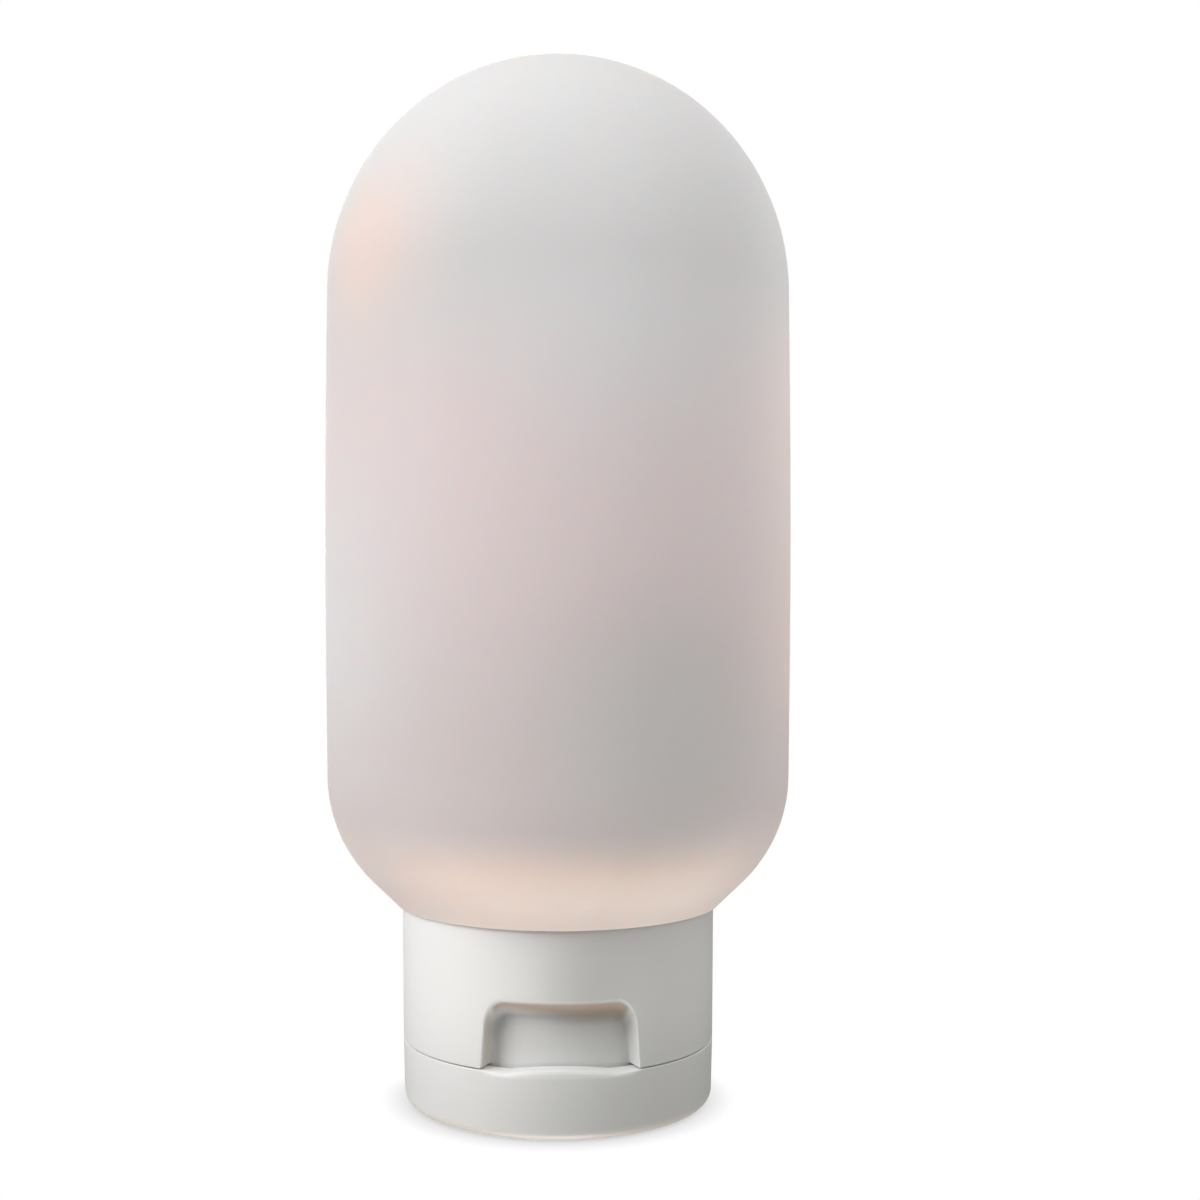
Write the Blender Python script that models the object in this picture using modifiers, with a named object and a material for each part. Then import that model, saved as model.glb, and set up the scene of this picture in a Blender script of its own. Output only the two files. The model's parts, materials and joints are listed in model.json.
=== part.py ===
"""Silicone travel bottle that stands on its flip-top cap.

The soft body has a domed end at the top and a drawn-in mouth at the bottom. A
rigid collar is trapped in the mouth and screws into a double-walled cap. The
lid at the foot swings down and back on a living hinge behind the cap, and the
thumb recess above it faces the front, -Y. Heights are measured up from the
lid's outer face, which is the ground. Lengths are in metres.
"""
import math

import bmesh
import bpy
from mathutils import Matrix, Vector

# Clearances and edges shared by neighbouring pieces
SEAT_GAP = 0.0003
PARTING_GAP = 0.0003
CUT_OVERRUN = 0.0006
WELD_DEPTH = 0.00045
EDGE_FILLET = 0.0002

# Squeeze body
BODY_RADIUS = 0.02237
BODY_HEIGHT = 0.08095
BODY_WALL = 0.0017
DOME_HEIGHT = 0.0226
DOME_DRAW_IN = 0.00015
SHOULDER_DRAW_IN = 0.0002
SHOULDER_BEND = 0.01395
SHOULDER_SLOPE = math.radians(45.6)
SHOULDER_LIMIT_SHARE = 0.95
FOOT_OVERHANG = 0.00045
FOOT_FILLET = 0.0004

# Threaded collar in the mouth
NECK_BORE = 0.0094
NECK_WALL = 0.0018
FLANGE_THICKNESS = 0.001
OUTER_FLANGE_REACH = 0.0021
INNER_FLANGE_REACH = 0.0018
RIM_CHAMFER = 0.0003

# Sealing washer
GASKET_THICKNESS = 0.0012
GASKET_LAP = 0.0002

# Cap base, from the neck outwards
THREAD_SPACE = 0.0008
SKIRT_WALL = 0.0009
WALL_SPACE = 0.001
OUTER_WALL = 0.0011
CAP_BASE_HEIGHT = 0.01235
CAP_DRAFT = 0.0001
DECK_THICKNESS = 0.0013
SKIRT_CLEARANCE = 0.001
SNAP_RING_HEIGHT = 0.0011
SNAP_RING_WALL = 0.0008
SPOUT_BORE = 0.0032
SPOUT_WALL = 0.0012
SPOUT_HEIGHT = 0.0016

# Upright ribs that stiffen the space between the cap's two walls
RIB_COUNT = 12
RIB_THICKNESS = 0.0008
RIB_HEIGHT = 0.0072

# Thumb recess in the front of the cap base
RECESS_WIDTH = 0.0143
RECESS_TOP_WIDTH = 0.0131
RECESS_HEIGHT = 0.00635
RECESS_DEPTH = 0.002
RECESS_CEILING_DROP = 0.0018
RECESS_CORNER = 0.0017
RECESS_RIM = 0.0011

# Anti-drip valve and the ring that holds it
VALVE_RADIUS = 0.0052
VALVE_FLANGE = 0.0008
MEMBRANE_RADIUS = 0.0029
MEMBRANE_THICKNESS = 0.0005
MEMBRANE_RISE = 0.0005
SLIT_LENGTH = 0.0044
SLIT_WIDTH = 0.00015
RETAINER_HEIGHT = 0.0009
RETAINER_BORE = 0.0034
RETAINER_FLARE = 0.0006
POCKET_WALL = 0.001
POCKET_BEAD = 0.0005
POCKET_BEAD_HEIGHT = 0.0004

# Flip lid
LID_HEIGHT = 0.006
LID_INSET = 0.0001
LID_WALL = 0.0017
LID_FLOOR = 0.0013
LID_DRAFT = 0.00015
LID_FOOT_FILLET = 0.0012
PLUG_RADIUS = 0.0029
PLUG_WALL = 0.0009
PLUG_CLEARANCE = 0.0009
THUMB_LIP_WIDTH = 0.0094
THUMB_LIP_RISE = 0.0006
THUMB_LIP_INSET = 0.0002

# Living hinge behind the cap: two side films on ears, and a snap strap between
HINGE_REACH = 0.0004
FILM_THICKNESS = 0.0003
FILM_HEIGHT = 0.0017
FILM_WIDTH = 0.0024
EAR_SPACING = 0.0088
EAR_HEIGHT = 0.0008
EAR_STEP = 0.00005
EAR_ROOT = 0.0015
STRAP_WIDTH = 0.0044
STRAP_HALF_LENGTH = 0.0026
STRAP_BOW = 0.0008
STRAP_THICKNESS = 0.0005

# Facets
TURN_STEPS = 48
SMALL_TURN_STEPS = 32
DOME_STEPS = 11
BARREL_STEPS = 3
SHOULDER_STEPS = 5
FILLET_STEPS = 3
MEMBRANE_STEPS = 3
WRAP_STEPS = 8
STRAP_STEPS = 8
SMOOTH_ANGLE = math.radians(30)
MERGE_DISTANCE = 0.000001

# Radii that follow from the neck outwards
NECK_RADIUS = NECK_BORE + NECK_WALL
SKIRT_BORE = NECK_RADIUS + THREAD_SPACE
SKIRT_RADIUS = SKIRT_BORE + SKIRT_WALL
CAP_RADIUS = SKIRT_RADIUS + WALL_SPACE + OUTER_WALL
LID_RADIUS = CAP_RADIUS - LID_INSET
LID_BORE = LID_RADIUS - LID_WALL
FOOT_RADIUS = CAP_RADIUS + FOOT_OVERHANG
LIP_BORE = NECK_RADIUS + SEAT_GAP
POCKET_BORE = VALVE_RADIUS + SEAT_GAP

# Heights that follow from the ground up
BASE_BOTTOM = LID_HEIGHT + PARTING_GAP
BASE_TOP = BASE_BOTTOM + CAP_BASE_HEIGHT
DECK_TOP = BASE_BOTTOM + DECK_THICKNESS
GASKET_BOTTOM = DECK_TOP + SEAT_GAP
NECK_RIM = GASKET_BOTTOM + GASKET_THICKNESS + SEAT_GAP
BODY_FOOT = BASE_TOP + SEAT_GAP
BODY_TOP = BODY_FOOT + BODY_HEIGHT
DOME_BASE = BODY_TOP - DOME_HEIGHT
OUTER_FLANGE_TOP = BODY_FOOT - SEAT_GAP
OUTER_FLANGE_BOTTOM = OUTER_FLANGE_TOP - FLANGE_THICKNESS
INNER_FLANGE_BOTTOM = BODY_FOOT + BODY_WALL + SEAT_GAP
INNER_FLANGE_TOP = INNER_FLANGE_BOTTOM + FLANGE_THICKNESS
SKIRT_TOP = OUTER_FLANGE_BOTTOM - SKIRT_CLEARANCE
VALVE_BOTTOM = DECK_TOP + SEAT_GAP
VALVE_TOP = VALVE_BOTTOM + VALVE_FLANGE
RETAINER_BOTTOM = VALVE_TOP + SEAT_GAP
RETAINER_TOP = RETAINER_BOTTOM + RETAINER_HEIGHT
POCKET_BEAD_BOTTOM = RETAINER_TOP + SEAT_GAP
POCKET_TOP = POCKET_BEAD_BOTTOM + POCKET_BEAD_HEIGHT
HINGE_HEIGHT = LID_HEIGHT + PARTING_GAP / 2
HINGE_DEPTH = CAP_RADIUS + HINGE_REACH


# Outlines
def arc(centre, radii, start, end, steps):
    """Points on an ellipse's arc, from angle start to angle end, both ends included."""
    points = []
    for step in range(steps + 1):
        angle = start + (end - start) * step / steps
        points.append((centre[0] + radii[0] * math.cos(angle), centre[1] + radii[1] * math.sin(angle)))
    return points


def fillet(before, corner, after, radius, steps=FILLET_STEPS):
    """Points that round the corner between two straight lines."""
    corner = Vector(corner)
    to_before = (Vector(before) - corner).normalized()
    to_after = (Vector(after) - corner).normalized()
    half_angle = to_before.angle(to_after) / 2
    tangent = radius / math.tan(half_angle)
    centre = corner + (to_before + to_after).normalized() * (radius / math.sin(half_angle))
    start = corner + to_before * tangent - centre
    end = corner + to_after * tangent - centre
    sweep = math.atan2(start.x * end.y - start.y * end.x, start.dot(end))
    points = []
    for step in range(steps + 1):
        spoke = Matrix.Rotation(sweep * step / steps, 2) @ start
        points.append(tuple(centre + spoke))
    return points


def shoulder():
    """Bend radius, centre radius and start height of the bend above the body's mouth."""
    slope_fall = 1 - math.cos(SHOULDER_SLOPE)
    start_radius = BODY_RADIUS - SHOULDER_DRAW_IN
    room = (start_radius - FOOT_RADIUS) / slope_fall
    bend = min(SHOULDER_BEND, room * SHOULDER_LIMIT_SHARE)
    cone_reach = start_radius - bend * slope_fall - FOOT_RADIUS
    start_height = BODY_FOOT + cone_reach / math.tan(SHOULDER_SLOPE) + bend * math.sin(SHOULDER_SLOPE)
    return bend, start_radius - bend, start_height


def body_line(inset):
    """One side of the body's wall, from the top of the dome to the height of the mouth's lip."""
    bend, centre_radius, bend_top = shoulder()
    dome_radius = BODY_RADIUS - DOME_DRAW_IN
    bend_radius = centre_radius + bend
    line = arc((0, DOME_BASE), (dome_radius - inset, DOME_HEIGHT - inset), math.pi / 2, 0, DOME_STEPS)
    line[0] = (0, line[0][1])
    for step in range(1, BARREL_STEPS + 1):
        share = step / (BARREL_STEPS + 1)
        chord = dome_radius + (bend_radius - dome_radius) * share
        swell = (BODY_RADIUS - (dome_radius + bend_radius) / 2) * math.sin(math.pi * share)
        line.append((chord + swell - inset, DOME_BASE + (bend_top - DOME_BASE) * share))
    round_radius = bend - inset
    line += arc((centre_radius, bend_top), (round_radius, round_radius), 0, -SHOULDER_SLOPE, SHOULDER_STEPS)
    cone_radius, cone_height = line[-1]
    lip_height = BODY_FOOT + inset
    line.append((cone_radius - (cone_height - lip_height) * math.tan(SHOULDER_SLOPE), lip_height))
    return line


def body_outline():
    outer = body_line(0)
    inner = body_line(BODY_WALL)
    lip = (LIP_BORE, BODY_FOOT)
    foot = fillet(outer[-2], outer[-1], lip, FOOT_FILLET)
    return outer[:-1] + foot + [lip, (LIP_BORE, BODY_FOOT + BODY_WALL)] + inner[::-1]


def collar_outline():
    outer_flange = NECK_RADIUS + OUTER_FLANGE_REACH
    inner_flange = NECK_RADIUS + INNER_FLANGE_REACH
    return [
        (NECK_BORE, INNER_FLANGE_TOP),
        (inner_flange - RIM_CHAMFER, INNER_FLANGE_TOP),
        (inner_flange, INNER_FLANGE_TOP - RIM_CHAMFER),
        (inner_flange, INNER_FLANGE_BOTTOM),
        (NECK_RADIUS, INNER_FLANGE_BOTTOM),
        (NECK_RADIUS, OUTER_FLANGE_TOP),
        (outer_flange, OUTER_FLANGE_TOP),
        (outer_flange, OUTER_FLANGE_BOTTOM),
        (NECK_RADIUS, OUTER_FLANGE_BOTTOM),
        (NECK_RADIUS, NECK_RIM + RIM_CHAMFER),
        (NECK_RADIUS - RIM_CHAMFER, NECK_RIM),
        (NECK_BORE, NECK_RIM),
    ]


def gasket_outline():
    inner = NECK_BORE - GASKET_LAP
    outer = SKIRT_BORE - SEAT_GAP
    top = GASKET_BOTTOM + GASKET_THICKNESS
    return [(inner, top), (outer, top), (outer, GASKET_BOTTOM), (inner, GASKET_BOTTOM)]


def cap_base_outline():
    """Outer wall, snap ring, spout, valve pocket, deck and threaded skirt in one loop."""
    wall_bore = CAP_RADIUS - OUTER_WALL
    wall_foot = (CAP_RADIUS - CAP_DRAFT, BASE_BOTTOM)
    snap_radius = LID_BORE - SEAT_GAP
    snap_bottom = BASE_BOTTOM - SNAP_RING_HEIGHT
    spout_radius = SPOUT_BORE + SPOUT_WALL
    spout_tip = BASE_BOTTOM - SPOUT_HEIGHT
    pocket_radius = POCKET_BORE + POCKET_WALL
    top_edge = (CAP_RADIUS, BASE_TOP)
    return [
        (wall_bore, BASE_TOP),
        *fillet((wall_bore, BASE_TOP), top_edge, wall_foot, EDGE_FILLET),
        wall_foot,
        (snap_radius, BASE_BOTTOM),
        (snap_radius, snap_bottom),
        (snap_radius - SNAP_RING_WALL, snap_bottom),
        (snap_radius - SNAP_RING_WALL, BASE_BOTTOM),
        (spout_radius, BASE_BOTTOM),
        *fillet((spout_radius, BASE_BOTTOM), (spout_radius, spout_tip), (SPOUT_BORE, spout_tip), EDGE_FILLET),
        (SPOUT_BORE, spout_tip),
        (SPOUT_BORE, DECK_TOP),
        (POCKET_BORE, DECK_TOP),
        (POCKET_BORE, POCKET_BEAD_BOTTOM),
        (POCKET_BORE - POCKET_BEAD, POCKET_BEAD_BOTTOM),
        (POCKET_BORE - POCKET_BEAD, POCKET_TOP),
        (pocket_radius, POCKET_TOP),
        (pocket_radius, DECK_TOP),
        (SKIRT_BORE, DECK_TOP),
        (SKIRT_BORE, SKIRT_TOP),
        (SKIRT_RADIUS, SKIRT_TOP),
        (SKIRT_RADIUS, DECK_TOP),
        (wall_bore, DECK_TOP),
    ]


def membrane_line(height):
    """The valve's dished membrane, from its middle to its flange."""
    line = []
    for step in range(MEMBRANE_STEPS + 1):
        share = step / MEMBRANE_STEPS
        line.append((MEMBRANE_RADIUS * share, height + MEMBRANE_RISE * (1 - share * share)))
    return line


def valve_outline():
    top = membrane_line(VALVE_BOTTOM + MEMBRANE_THICKNESS)
    under = membrane_line(VALVE_BOTTOM)
    flange = [
        (MEMBRANE_RADIUS, VALVE_TOP),
        (VALVE_RADIUS, VALVE_TOP),
        (VALVE_RADIUS, VALVE_BOTTOM),
    ]
    return top + flange + under[::-1]


def retainer_outline():
    return [
        (RETAINER_BORE + RETAINER_FLARE, RETAINER_TOP),
        (VALVE_RADIUS, RETAINER_TOP),
        (VALVE_RADIUS, RETAINER_BOTTOM),
        (RETAINER_BORE, RETAINER_BOTTOM),
    ]


def lid_outline():
    plug_top = VALVE_BOTTOM - PLUG_CLEARANCE
    plug_bore = PLUG_RADIUS - PLUG_WALL
    foot = (LID_RADIUS - LID_DRAFT, 0)
    return [
        (0, LID_FLOOR),
        (plug_bore, LID_FLOOR),
        (plug_bore, plug_top),
        *fillet((plug_bore, plug_top), (PLUG_RADIUS, plug_top), (PLUG_RADIUS, LID_FLOOR), EDGE_FILLET),
        (PLUG_RADIUS, LID_FLOOR),
        (LID_BORE, LID_FLOOR),
        (LID_BORE, LID_HEIGHT),
        (LID_RADIUS, LID_HEIGHT),
        *fillet((LID_RADIUS, LID_HEIGHT), foot, (0, 0), LID_FOOT_FILLET),
        (0, 0),
    ]


# Shapes
def add_object(name, mesh, collection):
    obj = bpy.data.objects.new(name, mesh)
    collection.objects.link(obj)
    return obj


def turned(name, outline, collection, steps=TURN_STEPS):
    """Turn an outline about Z; it runs down its outer side and back up its inner side."""
    points = [(radius, 0, height) for radius, height in outline]
    edges = [(index, index + 1) for index in range(len(points) - 1)]
    if outline[0][0] > 0:
        edges.append((len(points) - 1, 0))
    mesh = bpy.data.meshes.new(name)
    mesh.from_pydata(points, edges, [])
    obj = add_object(name, mesh, collection)
    screw = obj.modifiers.new("Turn", "SCREW")
    screw.axis = "Z"
    screw.angle = math.tau
    screw.steps = steps
    screw.render_steps = steps
    screw.use_merge_vertices = True
    screw.merge_threshold = MERGE_DISTANCE
    return obj


def block_mesh(bm, low, high):
    """Add a box between two corners to a bmesh, and return its vertices."""
    size = Vector(high) - Vector(low)
    middle = (Vector(high) + Vector(low)) / 2
    place = Matrix.Translation(middle) @ Matrix.Diagonal((*size, 1))
    return bmesh.ops.create_cube(bm, size=1, matrix=place)["verts"]


def block(name, low, high, collection):
    bm = bmesh.new()
    block_mesh(bm, low, high)
    mesh = bpy.data.meshes.new(name)
    bm.to_mesh(mesh)
    bm.free()
    return add_object(name, mesh, collection)


def wrap(bm, half_width):
    """Bend a flat block round the front of the cap; its Y is the depth below the cap's surface."""
    for step in range(1, WRAP_STEPS):
        across = half_width * (2 * step / WRAP_STEPS - 1)
        everything = bm.verts[:] + bm.edges[:] + bm.faces[:]
        bmesh.ops.bisect_plane(bm, geom=everything, plane_co=(across, 0, 0), plane_no=(1, 0, 0))
    for vert in bm.verts:
        across, depth, height = vert.co
        angle = across / CAP_RADIUS
        radius = CAP_RADIUS - depth
        vert.co = (radius * math.sin(angle), -radius * math.cos(angle), height)


def unrolled(width):
    """Half the length round the cap of a feature that is this wide seen from the front."""
    return CAP_RADIUS * math.asin(width / (2 * CAP_RADIUS))


def recess_boss(collection):
    """Solid stretch between the cap's two walls that the recess is cut into."""
    half_width = unrolled(RECESS_WIDTH) + RECESS_RIM
    outside = OUTER_WALL - WELD_DEPTH
    inside = OUTER_WALL + WALL_SPACE + WELD_DEPTH
    top = BASE_BOTTOM + RECESS_HEIGHT + RECESS_RIM
    bm = bmesh.new()
    block_mesh(bm, (-half_width, outside, DECK_TOP - WELD_DEPTH), (half_width, inside, top))
    wrap(bm, half_width)
    mesh = bpy.data.meshes.new("recess_boss")
    bm.to_mesh(mesh)
    bm.free()
    return add_object("recess_boss", mesh, collection)


def recess_cutter(collection):
    """The recess: open below, narrower above, round in its upper corners, sloped in its ceiling."""
    half_width = unrolled(RECESS_WIDTH)
    bottom = BASE_BOTTOM - CUT_OVERRUN
    top = BASE_BOTTOM + RECESS_HEIGHT
    drop_rate = RECESS_CEILING_DROP / RECESS_DEPTH
    bm = bmesh.new()
    block_mesh(bm, (-half_width, -CUT_OVERRUN, bottom), (half_width, RECESS_DEPTH, top))
    middle = (bottom + top) / 2
    for vert in bm.verts:
        if vert.co.z > middle:
            vert.co.x *= RECESS_TOP_WIDTH / RECESS_WIDTH
            vert.co.z -= vert.co.y * drop_rate
    corners = [
        edge
        for edge in bm.edges
        if all(vert.co.z > middle for vert in edge.verts) and edge.verts[0].co.x * edge.verts[1].co.x > 0
    ]
    bmesh.ops.bevel(
        bm, geom=corners, offset=RECESS_CORNER, segments=FILLET_STEPS, profile=0.5, affect="EDGES"
    )
    wrap(bm, half_width)
    mesh = bpy.data.meshes.new("recess_cutter")
    bm.to_mesh(mesh)
    bm.free()
    return add_object("recess_cutter", mesh, collection)


def wall_ribs(collection):
    """Upright ribs, evenly spaced, that tie the threaded skirt to the outer wall."""
    inside = SKIRT_RADIUS - WELD_DEPTH
    outside = SKIRT_RADIUS + WALL_SPACE + WELD_DEPTH
    half = RIB_THICKNESS / 2
    bm = bmesh.new()
    for index in range(RIB_COUNT):
        low = (inside, -half, DECK_TOP - WELD_DEPTH)
        rib = block_mesh(bm, low, (outside, half, DECK_TOP + RIB_HEIGHT))
        turn = Matrix.Rotation(math.tau * (index + 0.5) / RIB_COUNT, 3, "Z")
        bmesh.ops.rotate(bm, verts=rib, cent=(0, 0, 0), matrix=turn)
    mesh = bpy.data.meshes.new("wall_ribs")
    bm.to_mesh(mesh)
    bm.free()
    return add_object("wall_ribs", mesh, collection)


def thumb_lip(collection):
    """Low crescent on the lid's rim that the thumb pushes down."""
    half_width = unrolled(THUMB_LIP_WIDTH)
    outside = LID_INSET + THUMB_LIP_INSET
    inside = LID_INSET + LID_WALL - THUMB_LIP_INSET
    root = LID_HEIGHT - WELD_DEPTH
    bm = bmesh.new()
    block_mesh(bm, (-half_width, outside, root), (half_width, inside, LID_HEIGHT))
    wrap(bm, half_width)
    for vert in bm.verts:
        if vert.co.z > root:
            share = math.atan2(vert.co.x, -vert.co.y) * CAP_RADIUS / half_width
            vert.co.z += THUMB_LIP_RISE - (THUMB_LIP_RISE + WELD_DEPTH / 2) * share * share
    mesh = bpy.data.meshes.new("thumb_lip")
    bm.to_mesh(mesh)
    bm.free()
    return add_object("thumb_lip", mesh, collection)


def hinge_ears(name, bottom, top, collection):
    """Two small ledges behind the wall that the hinge films lie on, as one cutter."""
    back = HINGE_DEPTH - FILM_THICKNESS / 2 - SEAT_GAP
    bm = bmesh.new()
    for side in (-1, 1):
        middle = side * EAR_SPACING / 2
        low = (middle - FILM_WIDTH / 2, back - EAR_ROOT, bottom)
        high = (middle + FILM_WIDTH / 2, back, top)
        block_mesh(bm, low, high)
    mesh = bpy.data.meshes.new(name)
    bm.to_mesh(mesh)
    bm.free()
    return add_object(name, mesh, collection)


def hinge_film(name, side, collection):
    """Thin web that bridges the parting line from the cap's ear to the lid's."""
    middle = side * EAR_SPACING / 2
    low = (middle - FILM_WIDTH / 2, HINGE_DEPTH - FILM_THICKNESS / 2, HINGE_HEIGHT - FILM_HEIGHT / 2)
    high = (middle + FILM_WIDTH / 2, HINGE_DEPTH + FILM_THICKNESS / 2, HINGE_HEIGHT + FILM_HEIGHT / 2)
    return block(name, low, high, collection)


def snap_strap(name, collection):
    """Bowed band between the films that snaps the lid open and shut."""
    root_depth = CAP_RADIUS + SEAT_GAP
    bm = bmesh.new()
    line = []
    for step in range(STRAP_STEPS + 1):
        share = 2 * step / STRAP_STEPS - 1
        depth = root_depth + STRAP_BOW * (1 - share * share)
        line.append(bm.verts.new((-STRAP_WIDTH / 2, depth, HINGE_HEIGHT + STRAP_HALF_LENGTH * share)))
    edges = [bm.edges.new(pair) for pair in zip(line, line[1:])]
    swept = bmesh.ops.extrude_edge_only(bm, edges=edges)
    moved = [item for item in swept["geom"] if isinstance(item, bmesh.types.BMVert)]
    bmesh.ops.translate(bm, verts=moved, vec=(STRAP_WIDTH, 0, 0))
    bmesh.ops.recalc_face_normals(bm, faces=bm.faces)
    if bm.faces[0].normal.y < 0:
        bmesh.ops.reverse_faces(bm, faces=bm.faces)
    mesh = bpy.data.meshes.new(name)
    bm.to_mesh(mesh)
    bm.free()
    strap = add_object(name, mesh, collection)
    shell = strap.modifiers.new("Thickness", "SOLIDIFY")
    shell.thickness = STRAP_THICKNESS
    shell.offset = 1
    shell.use_even_offset = True
    return strap


def combine(target, other, operation):
    """Join another solid to this one, or cut it away."""
    boolean = target.modifiers.new(other.name, "BOOLEAN")
    boolean.operation = operation
    boolean.solver = "EXACT"
    boolean.object = other
    other.hide_render = True
    other.display_type = "WIRE"


def settle(obj):
    """Replace an object's modifiers with their result, shaded smooth between its sharp edges."""
    graph = bpy.context.evaluated_depsgraph_get()
    mesh = bpy.data.meshes.new_from_object(obj.evaluated_get(graph))
    mesh.name = obj.name
    obj.modifiers.clear()
    obj.data = mesh
    mesh.shade_smooth()
    mesh.set_sharp_from_angle(angle=SMOOTH_ANGLE)


def paint(obj, name, colour, roughness, metallic=0, see_through=0):
    material = bpy.data.materials.get(name) or bpy.data.materials.new(name)
    material.use_nodes = True
    material.diffuse_color = (*colour, 1)
    shader = material.node_tree.nodes["Principled BSDF"]
    shader.inputs["Base Color"].default_value = (*colour, 1)
    shader.inputs["Roughness"].default_value = roughness
    shader.inputs["Metallic"].default_value = metallic
    shader.inputs["Transmission Weight"].default_value = see_through
    obj.data.materials.clear()
    obj.data.materials.append(material)


# Sub-parts
def make_squeeze_body(parts):
    body = turned("squeeze_body", body_outline(), parts)
    settle(body)
    paint(body, "frosted_silicone", (0.84, 0.81, 0.79), 0.45, see_through=0.3)


def make_neck_collar(parts):
    collar = turned("neck_collar", collar_outline(), parts)
    settle(collar)
    paint(collar, "natural_collar", (0.86, 0.86, 0.83), 0.4)


def make_mouth_gasket(parts):
    gasket = turned("mouth_gasket", gasket_outline(), parts)
    settle(gasket)
    paint(gasket, "gasket_foam", (0.9, 0.9, 0.88), 0.7)


def make_cap_base(parts, cutters):
    cap = turned("cap_base", cap_base_outline(), parts)
    combine(cap, wall_ribs(cutters), "UNION")
    combine(cap, recess_boss(cutters), "UNION")
    combine(cap, recess_cutter(cutters), "DIFFERENCE")
    ear_bottom = BASE_BOTTOM + EAR_STEP
    combine(cap, hinge_ears("cap_ears", ear_bottom, ear_bottom + EAR_HEIGHT, cutters), "UNION")
    settle(cap)
    paint(cap, "cap_plastic", (0.9, 0.9, 0.9), 0.35)


def make_slit_valve(parts, cutters):
    valve = turned("slit_valve", valve_outline(), parts, SMALL_TURN_STEPS)
    half_length = SLIT_LENGTH / 2
    half_width = SLIT_WIDTH / 2
    low = VALVE_BOTTOM - CUT_OVERRUN
    high = VALVE_TOP + MEMBRANE_RISE + CUT_OVERRUN
    across = block("slit_across", (-half_length, -half_width, low), (half_length, half_width, high), cutters)
    along = block("slit_along", (-half_width, -half_length, low), (half_width, half_length, high), cutters)
    combine(valve, across, "DIFFERENCE")
    combine(valve, along, "DIFFERENCE")
    settle(valve)
    paint(valve, "valve_silicone", (0.88, 0.88, 0.87), 0.4)


def make_valve_retainer(parts):
    retainer = turned("valve_retainer", retainer_outline(), parts, SMALL_TURN_STEPS)
    settle(retainer)
    paint(retainer, "natural_collar", (0.86, 0.86, 0.83), 0.4)


def make_flip_lid(parts, cutters, hinge):
    lid = turned("flip_lid", lid_outline(), parts)
    ear_top = LID_HEIGHT - EAR_STEP
    combine(lid, thumb_lip(cutters), "UNION")
    combine(lid, hinge_ears("lid_ears", ear_top - EAR_HEIGHT, ear_top, cutters), "UNION")
    settle(lid)
    lid.parent = hinge
    lid.location = -hinge.location
    paint(lid, "cap_plastic", (0.9, 0.9, 0.9), 0.35)


def make_living_hinge(parts):
    for name, side in (("hinge_film_left", -1), ("hinge_film_right", 1)):
        film = hinge_film(name, side, parts)
        settle(film)
        paint(film, "cap_plastic", (0.9, 0.9, 0.9), 0.35)
    strap = snap_strap("snap_strap", parts)
    settle(strap)
    paint(strap, "cap_plastic", (0.9, 0.9, 0.9), 0.35)


def main():
    for obj in list(bpy.data.objects):
        bpy.data.objects.remove(obj, do_unlink=True)
    parts = bpy.data.collections.new("travel_bottle")
    cutters = bpy.data.collections.new("cutters")
    for collection in (parts, cutters):
        bpy.context.scene.collection.children.link(collection)
    hinge = add_object("lid_hinge_axis", None, parts)
    hinge.location = (0, HINGE_DEPTH, HINGE_HEIGHT)
    make_squeeze_body(parts)
    make_neck_collar(parts)
    make_mouth_gasket(parts)
    make_cap_base(parts, cutters)
    make_slit_valve(parts, cutters)
    make_valve_retainer(parts)
    make_flip_lid(parts, cutters, hinge)
    make_living_hinge(parts)


main()
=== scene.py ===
"""Finished look of a soft silicone travel bottle that stands on its flip-top cap.

Every piece is built in metres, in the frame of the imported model: the ground is
z = 0, the bottle's axis is Z, the thumb recess faces -Y and the hinge is at +Y.
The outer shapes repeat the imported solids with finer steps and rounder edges, and
add what they leave out: threads, fillets and the ears that carry the hinge films.
"""

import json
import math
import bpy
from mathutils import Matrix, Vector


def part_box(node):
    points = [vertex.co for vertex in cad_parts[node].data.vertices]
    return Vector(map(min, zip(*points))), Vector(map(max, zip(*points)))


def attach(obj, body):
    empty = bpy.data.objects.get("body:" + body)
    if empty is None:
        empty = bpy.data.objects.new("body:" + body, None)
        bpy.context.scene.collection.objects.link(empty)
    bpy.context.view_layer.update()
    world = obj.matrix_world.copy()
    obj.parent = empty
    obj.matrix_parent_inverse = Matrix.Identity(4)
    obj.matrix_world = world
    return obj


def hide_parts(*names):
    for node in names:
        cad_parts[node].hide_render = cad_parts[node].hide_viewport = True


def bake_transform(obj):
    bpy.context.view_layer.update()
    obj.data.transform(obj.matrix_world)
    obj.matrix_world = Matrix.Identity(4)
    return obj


bl_info = {
    "name": "Flip-Top Travel Bottle",
    "version": (1, 0, 0),
    "blender": (4, 5, 0),
    "location": "3D View > Sidebar > Bottle",
    "description": "Builds a frosted squeeze bottle, its screw cap and its hinged lid",
    "category": "Object",
}

import bmesh
import bpy
from bpy.props import FloatProperty, FloatVectorProperty, IntProperty, PointerProperty
from bpy.types import Operator, Panel, PropertyGroup
from mathutils import Matrix, Vector

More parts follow.
